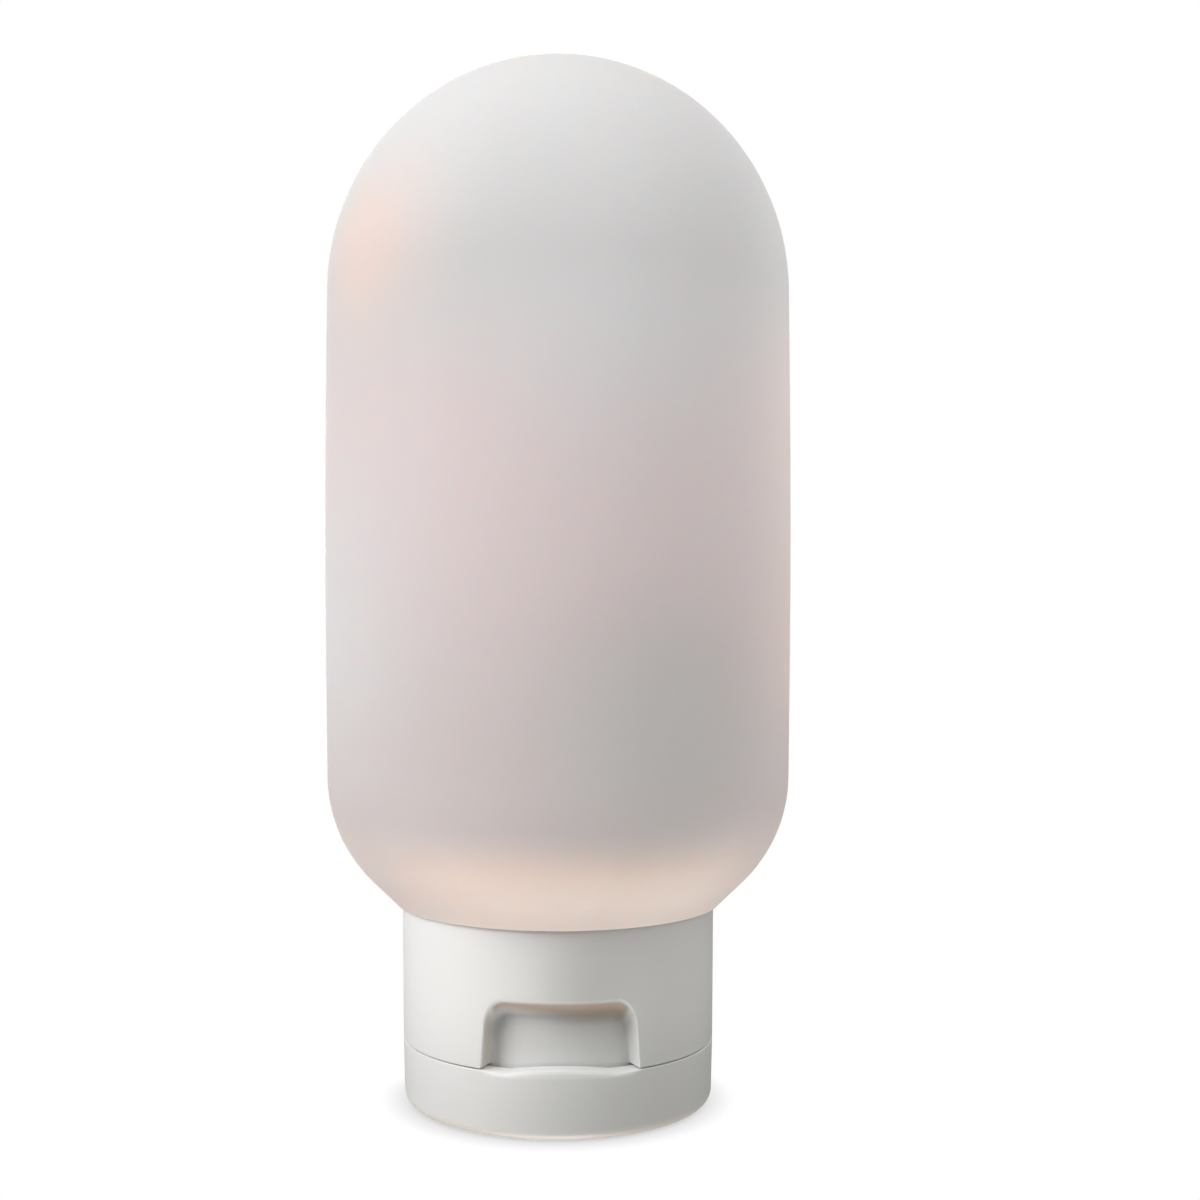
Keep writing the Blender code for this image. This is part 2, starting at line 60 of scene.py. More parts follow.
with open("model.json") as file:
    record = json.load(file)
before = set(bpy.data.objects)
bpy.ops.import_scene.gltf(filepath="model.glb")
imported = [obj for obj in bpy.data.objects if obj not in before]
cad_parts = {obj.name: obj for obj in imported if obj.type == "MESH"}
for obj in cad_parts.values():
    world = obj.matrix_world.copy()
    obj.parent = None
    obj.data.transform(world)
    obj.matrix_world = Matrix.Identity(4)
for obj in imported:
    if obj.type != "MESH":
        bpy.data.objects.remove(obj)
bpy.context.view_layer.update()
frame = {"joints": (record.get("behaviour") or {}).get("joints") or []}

BODY_LOW, BODY_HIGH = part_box("squeeze_body")
COLLAR_LOW, COLLAR_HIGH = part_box("neck_collar")
GASKET_LOW, GASKET_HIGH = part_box("mouth_gasket")
BASE_LOW, BASE_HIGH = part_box("cap_base")
VALVE_LOW, VALVE_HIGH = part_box("slit_valve")
RETAINER_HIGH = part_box("valve_retainer")[1]
LID_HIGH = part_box("flip_lid")[1]
FILM_LOW, FILM_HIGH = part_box("hinge_film_right")
STRAP_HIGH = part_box("snap_strap")[1]
HINGE = Vector(next(joint for joint in frame["joints"] if joint["name"] == "lid_hinge")["pos_m"])

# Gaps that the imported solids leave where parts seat, and between cap and lid at the hinge
SEAT_GAP = 0.0003
PARTING_GAP = 0.0003
# Finer gaps that are drawn here: a closed seat, and the line between the cap and the lid
SEAM_GAP = 0.00003
LINE_GAP = 0.00014
# How far a piece reaches into its neighbour, and a cutter past the surface it cuts
SINK = 0.00005
OVERRUN = 0.0006
# How much farther a soft part reaches here than its solid, and heights that several pieces share
SEATING = SEAT_GAP - SEAM_GAP
FOOT = BODY_LOW.z - SINK
CAP_TOP = FOOT - SEAM_GAP
DECK_TOP = GASKET_LOW.z - SEAT_GAP

# Facets
TURN_STEPS = 240
BODY_TURN_STEPS = 192
RETAINER_TURN_STEPS = 120
VALVE_TURN_STEPS = 96
DOME_STEPS = 48
BARREL_STEPS = 20
SHOULDER_STEPS = 24
CONE_STEPS = 6
FILLET_STEPS = 5
HEIGHT_CUTS = 30
THREAD_STEPS = 72
LEDGE_STEPS = 9
STRAP_STEPS = 28
FILM_STEPS = 18
DISH_STEPS = 16
CORNER_SEGMENTS = 8
RIM_SEGMENTS = 4
EAR_SEGMENTS = 3
STRAP_SEGMENTS = 2

# What counts as the same place, as on a plane, as flat, as smooth and as an edge of the strap
MERGE_DISTANCE = 0.0000004
ON_PLANE = 0.000002
FLAT_ANGLE = math.radians(0.5)
SMOOTH_ANGLE = math.radians(34)
STRAP_EDGE_ANGLE = math.radians(60)
# Places of two axes in a vector
Y, Z = 1, 2

# How far the strap's outer face spreads upwards and downwards, as a share of its thickness
STRAP_SPREAD = 0.6
# The least share of its reach that the thread keeps at its ends
THREAD_END = 0.02

# The camera's focal length and sensor width in millimetres, its nearest sight, and half the floor
LENS = 50
SENSOR_WIDTH = 36
CLIP_START = 0.01
FLOOR_HALF = 1.5
# The lamps' azimuth to the right from the front and elevation in degrees, distance and size
LAMPS = {
    "key": (-60, 31, 0.75, 0.4),
    "side": (-80, 14, 0.75, 0.4),
    "fill": (35, 42, 0.3, 0.25),
    "right": (80, 20, 0.5, 0.3),
    "rim": (125, 12, 0.5, 0.3),
    "back": (180, 10, 0.5, 0.4),
    "table": (0, -86, 0.3, 0.2),
}


def length(default, description):
    """A size in metres that a user would change."""
    return FloatProperty(description=description, default=default, min=0, unit="LENGTH", precision=5)


def share(default, description):
    """A number from zero to one."""
    return FloatProperty(description=description, default=default, min=0, max=1)


def angle(degrees, description):
    """An angle, given in degrees and kept in radians."""
    return FloatProperty(description=description, default=math.radians(degrees), subtype="ANGLE")


def power(default, description):
    """A lamp's power in watts."""
    return FloatProperty(description=description, default=default, min=0, unit="POWER")


def colour(default, description):
    """A linear colour."""
    return FloatVectorProperty(
        description=description, default=default, size=3, min=0, max=1, subtype="COLOR"
    )


class BodySettings(PropertyGroup):
    """Sizes and colours of the soft body."""

    wall: length(0.0017, "Thickness of the silicone")
    dome_height: length(0.0226, "Height of the domed end")
    dome_draw_in: length(0.00015, "How much narrower the dome starts than the barrel")
    shoulder_draw_in: length(0.0002, "How much narrower the shoulder starts")
    shoulder_bend: length(0.01395, "Radius of the bend above the mouth")
    shoulder_slope: angle(45.6, "Lean of the cone below the bend, from upright")
    foot_overhang: length(0.00045, "How far the land stands out past the cap")
    foot_fillet: length(0.00028, "Rounding of the land's outer edge")
    lip_bore: length(0.0115, "Radius of the hole that holds the collar")
    lip_fillet: length(0.0003, "Rounding of the hole's edges")
    pearl: colour((0.725, 0.72, 0.72), "Colour of the dome")
    rose: colour((0.84, 0.73, 0.733), "Colour of the barrel's middle")
    # Painted shade: the barrel is painted darker above the shoulder, and this colour also darkens the
    # shoulder's sides
    dusk: colour((0.75, 0.685, 0.68), "Colour above the shoulder")
    # Painted glow: warm light painted into the colour low round the mouth; the wall there is no warmer in
    # itself
    glow: colour((0.98, 0.80, 0.715), "Colour where the wall thickens at the mouth")
    # Painted warm light: a warm reflection high on the left and a warm rim of light down the right side
    blush: colour((0.92, 0.735, 0.675), "Warm patches")
    # Painted shade: a cool grey shade low on the right of the barrel
    cool: colour((0.70, 0.697, 0.686), "Cool patches")
    # Painted shade: darker patches where the shoulder turns away at its sides
    edge: colour((0.66, 0.58, 0.55), "Dusky patches at the shoulder's sides")
    milk: colour((0.825, 0.815, 0.825), "Pale patches and clouds")
    # Painted shade: the left side, lit most by the key lamp, is painted darker, standing in for light that
    # the milky wall spreads to the other side
    painted_left_shade: share(0.84, "Brightness at the far left, as a share of the silicone's own colour")


class CapSettings(PropertyGroup):
    """Sizes and colours of the cap base."""

    wall: length(0.0011, "Thickness of the outer wall")
    wall_space: length(0.001, "Gap between the two walls")
    skirt_wall: length(0.0009, "Thickness of the threaded skirt")
    skirt_clearance: length(0.002, "How far the skirt stops below the top")
    draft: length(0.0001, "How much narrower the cap is at its lower edge")
    rib_count: IntProperty(description="Upright ribs between the two walls", default=12, min=0)
    rib_thickness: length(0.0008, "Thickness of the ribs")
    rib_height: length(0.0072, "Height of the ribs above the deck")
    edge_fillet: length(0.00022, "Rounding of the recess's rim and of the edges inside the cap")
    line_fillet: length(0.00012, "Rounding of the lower edge")
    recess_width: length(0.0143, "Width of the thumb recess at its foot")
    recess_top_width: length(0.0131, "Width of the thumb recess at its top")
    recess_height: length(0.00635, "Height of the thumb recess")
    recess_depth: length(0.002, "Depth of the thumb recess")
    recess_drop: length(0.0018, "How far the recess's ceiling slopes down inwards")
    recess_corner: length(0.0017, "Rounding of the recess's upper corners")
    recess_hollow: length(0.00025, "Rounding inside the recess")
    recess_flare: length(0.0003, "How far each side of the recess opens inwards")
    recess_rim: length(0.0011, "Solid stretch round the recess")
    snap_height: length(0.0011, "Height of the ring that the lid snaps over")
    snap_wall: length(0.0008, "Thickness of the snap ring")
    spout_bore: length(0.0032, "Radius of the spout's hole")
    spout_wall: length(0.0012, "Thickness of the spout")
    pocket_wall: length(0.001, "Thickness of the wall round the valve")
    pocket_bead: length(0.0005, "Reach of the bead that holds the retainer")
    bead_height: length(0.0004, "Height of that bead")
    white: colour((0.87, 0.87, 0.872), "Colour of the cap")
    # Painted shade: the cap's right side, away from the key lamp, is painted cooler and greyer
    cool: colour((0.72, 0.725, 0.71), "Colour of the cap's right side")
    # Painted shade: this colour and the shares below paint a warm shade on the recess's ceiling and left
    # side and round the foot's edge, and paint the cap darker towards the foot and just above the recess
    shade: colour((0.52, 0.42, 0.33), "Colour of the recess's ceiling and the foot's edge")
    low_shade: share(0.18, "How much darker the plastic is at the foot than above the recess")
    above_shade: share(0.14, "How much darker the plastic is just above the recess")
    side_shade: share(0.4, "Strength of the warm shade on the recess's left side")
    foot_shade: share(0.75, "Strength of the warm shade round the foot")
    foot_height: length(0.0012, "Height of the warm shade round the foot")


class LidSettings(PropertyGroup):
    """Sizes of the flip lid."""

    wall: length(0.0017, "Thickness of the lid's side")
    floor: length(0.0013, "Thickness of the lid's face")
    foot_fillet: length(0.0012, "Rounding of the face's edge")
    rim_fillet: length(0.0001, "Rounding of the rim")
    draft: length(0.00015, "How much narrower the lid is at its face")
    plug_radius: length(0.0029, "Radius of the plug that closes the spout")
    plug_wall: length(0.0009, "Thickness of the plug")
    lip_width: length(0.0098, "Width of the raised thumb lip")
    lip_rise: length(0.0004, "Height of the raised thumb lip")
    lip_fillet: length(0.0006, "Rounding of the lid's edge below the recess")
    height: length(0.00608, "Height of the lid's rim")


class ThreadSettings(PropertyGroup):
    """Sizes of the screw thread and the collar that carries it."""

    pitch: length(0.004, "Rise of the thread in one turn")
    reach: length(0.0006, "How far the thread stands out")
    width: length(0.0013, "Width of the thread at its root")
    turns: FloatProperty(description="Turns of thread", default=1.35, min=0.5)
    neck_bore: length(0.0094, "Radius of the collar's bore")
    neck_wall: length(0.0018, "Thickness of the collar's wall")
    flange: length(0.001, "Thickness of the collar's flanges")
    inner_flange_reach: length(0.0018, "How far the inner flange stands out")
    fade: share(0.09, "Share of the thread over which each end fades")
    lead_in: length(0.0015, "Height of the thread's lower end above the gasket")
    fillet: length(0.0002, "Rounding of the collar's and the gasket's edges")
    gasket_inset: length(0.0002, "How much smaller the gasket's hole is than the collar's bore")
    natural: colour((0.80, 0.80, 0.77), "Colour of the collar")
    foam: colour((0.86, 0.86, 0.84), "Colour of the gasket")


class HingeSettings(PropertyGroup):
    """Sizes of the living hinge behind the cap."""

    ear_depth: length(0.0014, "Depth of the ears, counting what is inside the wall")
    ear_height: length(0.0008, "Height of the ears")
    ear_fillet: length(0.00012, "Rounding of the ears")
    ear_clearance: length(0.00005, "How far the ears stay back from the parting gap")
    web: length(0.00022, "Thickness of the films where they bend")
    strap: length(0.00045, "Thickness of the strap in its middle")
    strap_root: share(0.62, "Thickness of the strap's roots, as a share of its middle")
    strap_sink: length(0.0003, "How deep the strap's roots are in the wall")
    strap_bow: share(0.7, "Power that shapes the strap's bow; the lower, the squarer")
    strap_fillet: length(0.0001, "Rounding of the strap's long edges")


class ValveSettings(PropertyGroup):
    """Sizes of the slit valve and the ring that holds it."""

    flange: length(0.0008, "Thickness of the valve's rim")
    membrane: length(0.0029, "Radius of the membrane")
    thickness: length(0.0005, "Thickness of the membrane")
    rise: length(0.0005, "How far the membrane's middle domes up")
    slit_reach: length(0.0022, "Half the length of a slit")
    slit_gap: length(0.00005, "Half the width of a slit")
    fillet: length(0.00015, "Rounding of the rim and of the ring")
    ring_top_bore: length(0.004, "Radius of the ring's hole at its top")
    ring_bottom_bore: length(0.0034, "Radius of the ring's hole at its bottom")


class StageSettings(PropertyGroup):
    """Camera, lamps and surroundings."""

    camera_distance: length(0.1618, "From the bottle's axis to the lens")
    camera_height: length(0.048, "Height of the lens")
    camera_side: angle(0.85, "How far the camera stands round to the left")
    camera_shift: share(0.035, "Share of the frame's width that the lens is shifted")
    ambient: share(0.045, "Light from all round")
    key_power: power(4.4, "Power of the large lamp in front on the left")
    side_power: power(1.4, "Power of the low lamp on the left")
    fill_power: power(0.52, "Power of the lamp high in front on the right")
    right_power: power(0.28, "Power of the lamp on the right")
    rim_power: power(0.42, "Power of the lamp behind on the right")
    back_power: power(1.15, "Power of the lamp behind")
    table_power: power(0.85, "Power of the lamp under the floor")
    shadow: share(0.4, "Strength of the contact shadow on the floor")
    shadow_reach: length(0.0025, "How far the contact shadow reaches")
    bounce: colour((0.20, 0.188, 0.17), "Colour that the floor gives the light it sends back")


# Outlines
def arc(centre, radii, start, end, steps):
    """Points on an ellipse's arc, both ends included."""
    points = []
    for step in range(steps + 1):
        angle = start + (end - start) * step / steps
        points.append((centre[0] + radii[0] * math.cos(angle), centre[1] + radii[1] * math.sin(angle)))
    return points


def fillet(before, corner, after, radius):
    """Points that round the corner between two straight lines."""
    corner = Vector(corner)
    to_before = (Vector(before) - corner).normalized()
    to_after = (Vector(after) - corner).normalized()
    half_angle = to_before.angle(to_after) / 2
    centre = corner + (to_before + to_after).normalized() * (radius / math.sin(half_angle))
    start = corner + to_before * (radius / math.tan(half_angle)) - centre
    end = corner + to_after * (radius / math.tan(half_angle)) - centre
    sweep = math.atan2(start.x * end.y - start.y * end.x, start.dot(end))
    return [
        tuple(centre + Matrix.Rotation(sweep * step / FILLET_STEPS, 2) @ start)
        for step in range(FILLET_STEPS + 1)
    ]


def rounded(corners, closed=True):
    """An outline from corners given as (radius, height) or (radius, height, fillet)."""
    points = []
    for index, corner in enumerate(corners):
        inner = closed or 0 < index < len(corners) - 1
        if len(corner) == 3 and corner[2] > 0 and inner:
            before = corners[index - 1][:2]
            after = corners[(index + 1) % len(corners)][:2]
            points += fillet(before, corner[:2], after, corner[2])
        else:
            points.append(corner[:2])
    return points


def body_side(sizes, inset):
    """One side of the silicone wall, from the dome's top to the height of the lip."""
    foot_radius = BASE_HIGH.x + sizes.foot_overhang
    dome_base = BODY_HIGH.z - sizes.dome_height
    dome_radius = BODY_HIGH.x - sizes.dome_draw_in
    bend_start = BODY_HIGH.x - sizes.shoulder_draw_in
    bend = sizes.shoulder_bend
    slope = sizes.shoulder_slope
    bend_centre = bend_start - bend
    cone_reach = bend_start - bend * (1 - math.cos(slope)) - foot_radius
    bend_top = FOOT + cone_reach / math.tan(slope) + bend * math.sin(slope)
    line = arc(
        (0, dome_base), (dome_radius - inset, sizes.dome_height - inset), math.pi / 2, 0, DOME_STEPS
    )
    line[0] = (0, line[0][1])
    for step in range(1, BARREL_STEPS):
        along = step / BARREL_STEPS
        chord = dome_radius + (bend_start - dome_radius) * along
        swell = (BODY_HIGH.x - (dome_radius + bend_start) / 2) * math.sin(math.pi * along)
        line.append((chord + swell - inset, dome_base + (bend_top - dome_base) * along))
    line += arc((bend_centre, bend_top), (bend - inset, bend - inset), 0, -slope, SHOULDER_STEPS)
    cone_radius, cone_height = line[-1]
    end_height = FOOT + inset
    for step in range(1, CONE_STEPS + 1):
        height = cone_height + (end_height - cone_height) * step / CONE_STEPS
        line.append((cone_radius + (height - cone_height) * math.tan(slope), height))
    return line


# Meshes
def turned(outline, steps, closed=True):
    """Turn an outline in the XZ plane about Z; an outline that isn't closed ends on the axis."""
    bm = bmesh.new()
    verts = [bm.verts.new((radius, 0, height)) for radius, height in outline]
    pairs = list(zip(verts, verts[1:]))
    if closed:
        pairs.append((verts[-1], verts[0]))
    edges = [bm.edges.new(pair) for pair in pairs]
    bmesh.ops.spin(
        bm, geom=verts + edges, cent=(0, 0, 0), axis=(0, 0, 1), angle=math.tau, steps=steps, use_merge=True
    )
    bmesh.ops.remove_doubles(bm, verts=bm.verts, dist=MERGE_DISTANCE)
    return bm


def cuboid(low, high, bm=None):
    """Add a box between two corners to a bmesh, which is a new one unless it is given."""
    bm = bmesh.new() if bm is None else bm
    low, high = Vector(low), Vector(high)
    place = Matrix.Translation((low + high) / 2) @ Matrix.Diagonal((*(high - low), 1))
    bmesh.ops.create_cube(bm, size=1, matrix=place)
    return bm


def lies_on(item, axis, place):
    """Whether every corner of an edge or face is at this place along an axis."""
    return all(abs(vert.co[axis] - place) < ON_PLANE for vert in item.verts)


def sweep(bm, faces, width):
    """Pull faces out along X into a solid."""
    swept = bmesh.ops.extrude_face_region(bm, geom=faces)
    moved = [item for item in swept["geom"] if isinstance(item, bmesh.types.BMVert)]
    bmesh.ops.translate(bm, verts=moved, vec=(width, 0, 0))


def bevelled(bm, edges, offset, segments):
    """Round edges with this many facets."""
    bmesh.ops.bevel(
        bm,
        geom=edges,
        offset=offset,
        offset_type="OFFSET",
        segments=segments,
        profile=0.5,
        affect="EDGES",
        clamp_overlap=True,
        material=-1,
    )


def slice_mesh(bm, normal, places):
    """Cut the mesh along parallel planes, so that it can bend and shade smoothly."""
    normal = Vector(normal)
    for place in places:
        everything = bm.verts[:] + bm.edges[:] + bm.faces[:]
        bmesh.ops.bisect_plane(
            bm, geom=everything, plane_co=normal * place, plane_no=normal, dist=MERGE_DISTANCE
        )


def mesh_object(name, bm):
    """A mesh object in the scene, made from a bmesh."""
    mesh = bpy.data.meshes.new(name)
    bm.to_mesh(mesh)
    bm.free()
    obj = bpy.data.objects.new(name, mesh)
    bpy.context.scene.collection.objects.link(obj)
    return obj


def combined(base, steps):
    """The bmesh left when blocks are joined to a base or cut from it; the blocks are removed."""
    base = mesh_object("base", base)
    blocks = [base]
    for operation, bm in steps:
        block = mesh_object("block", bm)
        modifier = base.modifiers.new("Step", "BOOLEAN")
        modifier.operation = operation
        modifier.solver = "EXACT"
        modifier.object = block
        blocks.append(block)
    result = bmesh.new()
    result.from_object(base, bpy.context.evaluated_depsgraph_get())
    for block in blocks:
        bpy.data.objects.remove(block, do_unlink=True)
    return result


def finish_piece(context, name, bm, slot, stands_for=(), body=None):
    """Make a bmesh a piece of the bottle, shaded smooth, that rides on a body if one is named."""
    bmesh.ops.remove_doubles(bm, verts=bm.verts, dist=MERGE_DISTANCE)
    bmesh.ops.recalc_face_normals(bm, faces=bm.faces)
    piece = mesh_object(name, bm)
    piece.data.shade_smooth()
    piece.data.set_sharp_from_angle(angle=SMOOTH_ANGLE)
    material, make = LOOKS[slot]
    piece.data.materials.append(bpy.data.materials.get(material) or make(material, context.scene))
    if body:
        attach(piece, body)
    if stands_for:
        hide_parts(*stands_for)
    return piece


# Finishes
class Amount:
    """A number that changes over a surface; sums on it add Math nodes."""

    def __init__(self, nodes, socket):
        self.nodes = nodes
        self.socket = socket

    def __add__(self, other):
        return self.nodes.math("ADD", self, other)

    def __radd__(self, other):
        return self.nodes.math("ADD", other, self)

    def __sub__(self, other):
        return self.nodes.math("SUBTRACT", self, other)

    def __rsub__(self, other):
        return self.nodes.math("SUBTRACT", other, self)

    def __mul__(self, other):
        return self.nodes.math("MULTIPLY", self, other)

    def __pow__(self, other):
        return self.nodes.math("POWER", self, other)


class Nodes:
    """Adds linked nodes to a node tree."""

    def __init__(self, tree):
        self.tree = tree

    def node(self, kind, sockets=None, **settings):
        """Add a node, set its own settings first, then the values or links of its sockets."""
        node = self.tree.nodes.new(kind)
        for name, value in settings.items():
            setattr(node, name, value)
        for name, value in (sockets or {}).items():
            self.feed(node.inputs[name], value)
        return node

    def feed(self, socket, value):
        """Set a socket's value, or link it to where the value comes from."""
        if isinstance(value, Amount):
            value = value.socket
        if isinstance(value, bpy.types.NodeSocket):
            self.tree.links.new(value, socket)
        else:
            socket.default_value = value

    def math(self, operation, first, second):
        node = self.node("ShaderNodeMath", {0: first, 1: second}, operation=operation)
        return Amount(self, node.outputs[0])


class Finish(Nodes):
    """A material in the making, whose patterns follow the object's own coordinates."""

    def __init__(self, name):
        self.material = bpy.data.materials.new(name)
        self.material.use_nodes = True
        super().__init__(self.material.node_tree)
        self.shader = self.tree.nodes["Principled BSDF"]
        self.place = self.node("ShaderNodeTexCoord").outputs["Object"]

    def set(self, **sockets):
        """Feed the shader's sockets; underscores stand for spaces."""
        for name, value in sockets.items():
            self.feed(self.shader.inputs[name.replace("_", " ")], value)

    def axis(self, name):
        """The place along one axis."""
        return Amount(self, self.node("ShaderNodeSeparateXYZ", {0: self.place}).outputs[name])

    def ramp(self, value, low, high, to_low=0.0, to_high=1.0):
        """Ease a number from one value to another between two limits."""
        sockets = {"Value": value, "From Min": low, "From Max": high, "To Min": to_low, "To Max": to_high}
        node = self.node("ShaderNodeMapRange", sockets, interpolation_type="SMOOTHSTEP")
        return Amount(self, node.outputs["Result"])

    def noise(self, size, detail, roughness, shift=(0, 0, 0), stretch=(1, 1, 1)):
        """Noise whose features are about as large as the size given."""
        moved = self.node("ShaderNodeMapping", {"Vector": self.place, "Location": shift, "Scale": stretch})
        sockets = {
            "Vector": moved.outputs["Vector"],
            "Scale": 1 / size,
            "Detail": detail,
            "Roughness": roughness,
        }
        return Amount(self, self.node("ShaderNodeTexNoise", sockets).outputs["Fac"])

    def spot(self, centre, reach):
        """A soft round patch: one at its centre, easing to none at its reach."""
        away = self.node("ShaderNodeVectorMath", {0: self.place, 1: centre}, operation="DISTANCE")
        return self.ramp(Amount(self, away.outputs["Value"]), 0.0, reach, 1.0, 0.0)

    def mix(self, mask, first, second):
        """Blend two colours by a mask."""
        sockets = {0: mask}
        for place, tone in ((6, first), (7, second)):
            sockets[place] = tone if isinstance(tone, bpy.types.NodeSocket) else (*tone, 1)
        return self.node("ShaderNodeMix", sockets, data_type="RGBA").outputs[2]

    def scaled(self, tone, factor):
        """A colour made darker by a factor."""
        node = self.node("ShaderNodeVectorMath", {0: tone, "Scale": factor}, operation="SCALE")
        return node.outputs["Vector"]

    def bump(self, height, distance, normal=None):
        """Relief of this depth, over a coarser one if that is given."""
        sockets = {"Strength": 1.0, "Distance": distance, "Height": height}
        if normal is not None:
            sockets["Normal"] = normal
        return self.node("ShaderNodeBump", sockets).outputs["Normal"]


# Patterns: size of the features, detail and roughness, and for some a shift and a stretch
FROST = (0.00016, 3.0, 0.6)
HANDLED = (0.009, 3.0, 0.55, (0.3, 0.1, 0.2))
DRAPE = (0.021, 1.0, 0.4, (0.07, 0.09, 0.02))
CLOUD = (0.03, 1.0, 0.4, (0.02, 0.01, 0.013))
SATIN = (0.00014, 2.0, 0.6)
FLOW = (0.012, 2.0, 0.5, (0.05, 0.02, 0.01), (1, 1, 0.4))
SCUFF = (0.0022, 4.0, 0.7, (0.2, 0.4, 0.1), (1, 1, 3))
FOAM_CELLS_PER_METRE = 3600.0
# Depths of relief
FROST_DEPTH = 0.000006
DRAPE_DEPTH = 0.00012
SATIN_DEPTH = 0.000005
COLLAR_DEPTH = 0.000003
PORE_DEPTH = 0.00002
# Where each colour of the silicone takes over, going up and then at the mouth: its start and end. Below the
# rose the barrel keeps a painted shade, darker above the shoulder, and the last band is a painted glow at
# the mouth
SILICONE_BANDS = (
    ("rose", 0.034, 0.058),
    ("pearl", 0.062, 0.079),
    ("glow", 0.0288, 0.0235),
)
# Soft patches of colour in the silicone: colour, place, reach and strength. The warm patches are painted
# warm light, a warm reflection high on the left and a warm rim down the right; the dusk and edge patches
# are painted shade at the shoulder's sides, and the cool one is painted shade low on the right
SILICONE_PATCHES = (
    ("milk", (-0.0215, -0.005, 0.045), 0.023, 0.85),
    ("milk", (0.005, -0.0205, 0.072), 0.018, 0.85),
    ("blush", (-0.0175, -0.0135, 0.0798), 0.013, 0.95),
    ("blush", (0.022, -0.003, 0.064), 0.016, 0.8),
    ("blush", (0.022, -0.003, 0.044), 0.016, 0.8),
    ("dusk", (-0.019, -0.009, 0.027), 0.017, 0.75),
    ("dusk", (0.019, -0.009, 0.0275), 0.014, 0.7),
    ("edge", (-0.0165, -0.008, 0.0225), 0.012, 0.6),
    ("edge", (0.017, -0.007, 0.0235), 0.010, 0.6),
    ("cool", (0.0085, -0.0205, 0.037), 0.016, 0.8),
)


def silicone_finish(name, scene):
    """Frosted milky silicone, pale at the dome and rosier below, with painted light: a painted glow at the
    mouth, painted warm light high on the left and down the right, and painted shade low on the barrel, at
    the shoulder's sides, low on the right and on the left.
    """
    settings = scene.bottle_body
    finish = Finish(name)
    height = finish.axis("Z")
    # Painted shade is the ground colour low on the barrel; the bands and patches go over it
    tone = settings.dusk
    for colour_name, low, high in SILICONE_BANDS:
        tone = finish.mix(finish.ramp(height, low, high), tone, getattr(settings, colour_name))
    for colour_name, centre, reach, strength in SILICONE_PATCHES:
        tone = finish.mix(finish.spot(centre, reach) * strength, tone, getattr(settings, colour_name))
    cloud = finish.ramp(finish.noise(*CLOUD), 0.45, 0.65)
    tone = finish.mix(cloud * 0.2, tone, settings.milk)
    # Painted shade: darker towards the left, where the key lamp falls
    left = finish.ramp(finish.axis("X"), -BODY_HIGH.x, BODY_HIGH.x, 1.0, 0.0)
    tone = finish.mix(left, tone, finish.scaled(tone, settings.painted_left_shade))
    frost = finish.noise(*FROST)
    finish.set(
        Base_Color=tone,
        Roughness=0.50 + frost * 0.06 + finish.noise(*HANDLED) * 0.10,
        Specular_IOR_Level=0.25,
        Normal=finish.bump(frost, FROST_DEPTH, finish.bump(finish.noise(*DRAPE), DRAPE_DEPTH)),
        IOR=1.41,
        Subsurface_Weight=1.0,
        Subsurface_Scale=0.0016,
        Subsurface_Radius=(1.0, 0.72, 0.6),
        Sheen_Weight=0.06,
        Sheen_Roughness=0.4,
        Sheen_Tint=(1.0, 0.72, 0.6, 1.0),
    )
    return finish.material


def cap_painted_shade(finish, plain, sizes, bottom):
    """Painted shade on the cap: cooler on the right, darker downwards and above the recess, and a warm
    painted shade in the recess and at the foot.
    """
    x, y, height = (finish.axis(name) for name in "XYZ")
    radius, recess_depth = BASE_HIGH.x, sizes.recess_depth
    depth = radius - (x * x + y * y) ** 0.5
    recess_top = bottom + sizes.recess_height
    half_top = sizes.recess_top_width / 2
    # Painted shade: greyer on the right, away from the key lamp, darker towards the foot, and darker in a
    # patch just above the recess
    right = finish.ramp(x, -0.75 * radius, 0.25 * radius)
    low = finish.ramp(height, 1.15 * recess_top, 0.0, 0.0, sizes.low_shade)
    above_place = (0.002, -radius, 1.09 * recess_top)
    above = finish.spot(above_place, sizes.recess_height) * sizes.above_shade
    tone = finish.scaled(finish.mix(right, plain, sizes.cool), 1.0 - low - above)
    # Painted shade round the foot's rounded edge, where the contact shadow falls
    rim = finish.ramp(depth, 0.8 * sizes.foot_height, 0.5 * sizes.foot_height, 0.0, sizes.foot_shade)
    foot = finish.ramp(height, sizes.foot_height, 0.0) * rim
    tone = finish.mix(foot, tone, sizes.shade)
    # The recess's painted shade stays below its top, on the front, behind the outer face and before its
    # back
    under_top = finish.ramp(height, recess_top + SINK, recess_top + SEAT_GAP, 1.0, 0.0)
    front = finish.ramp(y, -0.5 * radius, 0.0, 1.0, 0.0)
    inside = finish.ramp(depth, SEAT_GAP / 3, 2 * SEAT_GAP) * under_top * front
    inside = inside * finish.ramp(height, bottom - SEAT_GAP, bottom)
    inside = inside * finish.ramp(depth, recess_depth + SEAT_GAP, recess_depth + 2 * SEAT_GAP, 1.0, 0.0)
    # The painted shade lies along the sloped ceiling, half as deep at the left, and down the left side
    sloped = height + depth * (sizes.recess_drop / recess_depth)
    ceiling = finish.ramp(sloped, recess_top - 3 * SEAT_GAP, recess_top - SEAT_GAP)
    reach = finish.ramp(x, -half_top, half_top / 2, 0.5, 1.0) * recess_depth
    ceiling = ceiling * finish.ramp(depth - reach, -2 * SEAT_GAP, 2 * SEAT_GAP, 1.0, 0.0)
    side = finish.ramp(x, -half_top, -half_top + 2 * SEAT_GAP, sizes.side_shade, 0.0)
    return finish.mix(inside * finish.math("MAXIMUM", ceiling, side), tone, sizes.shade)


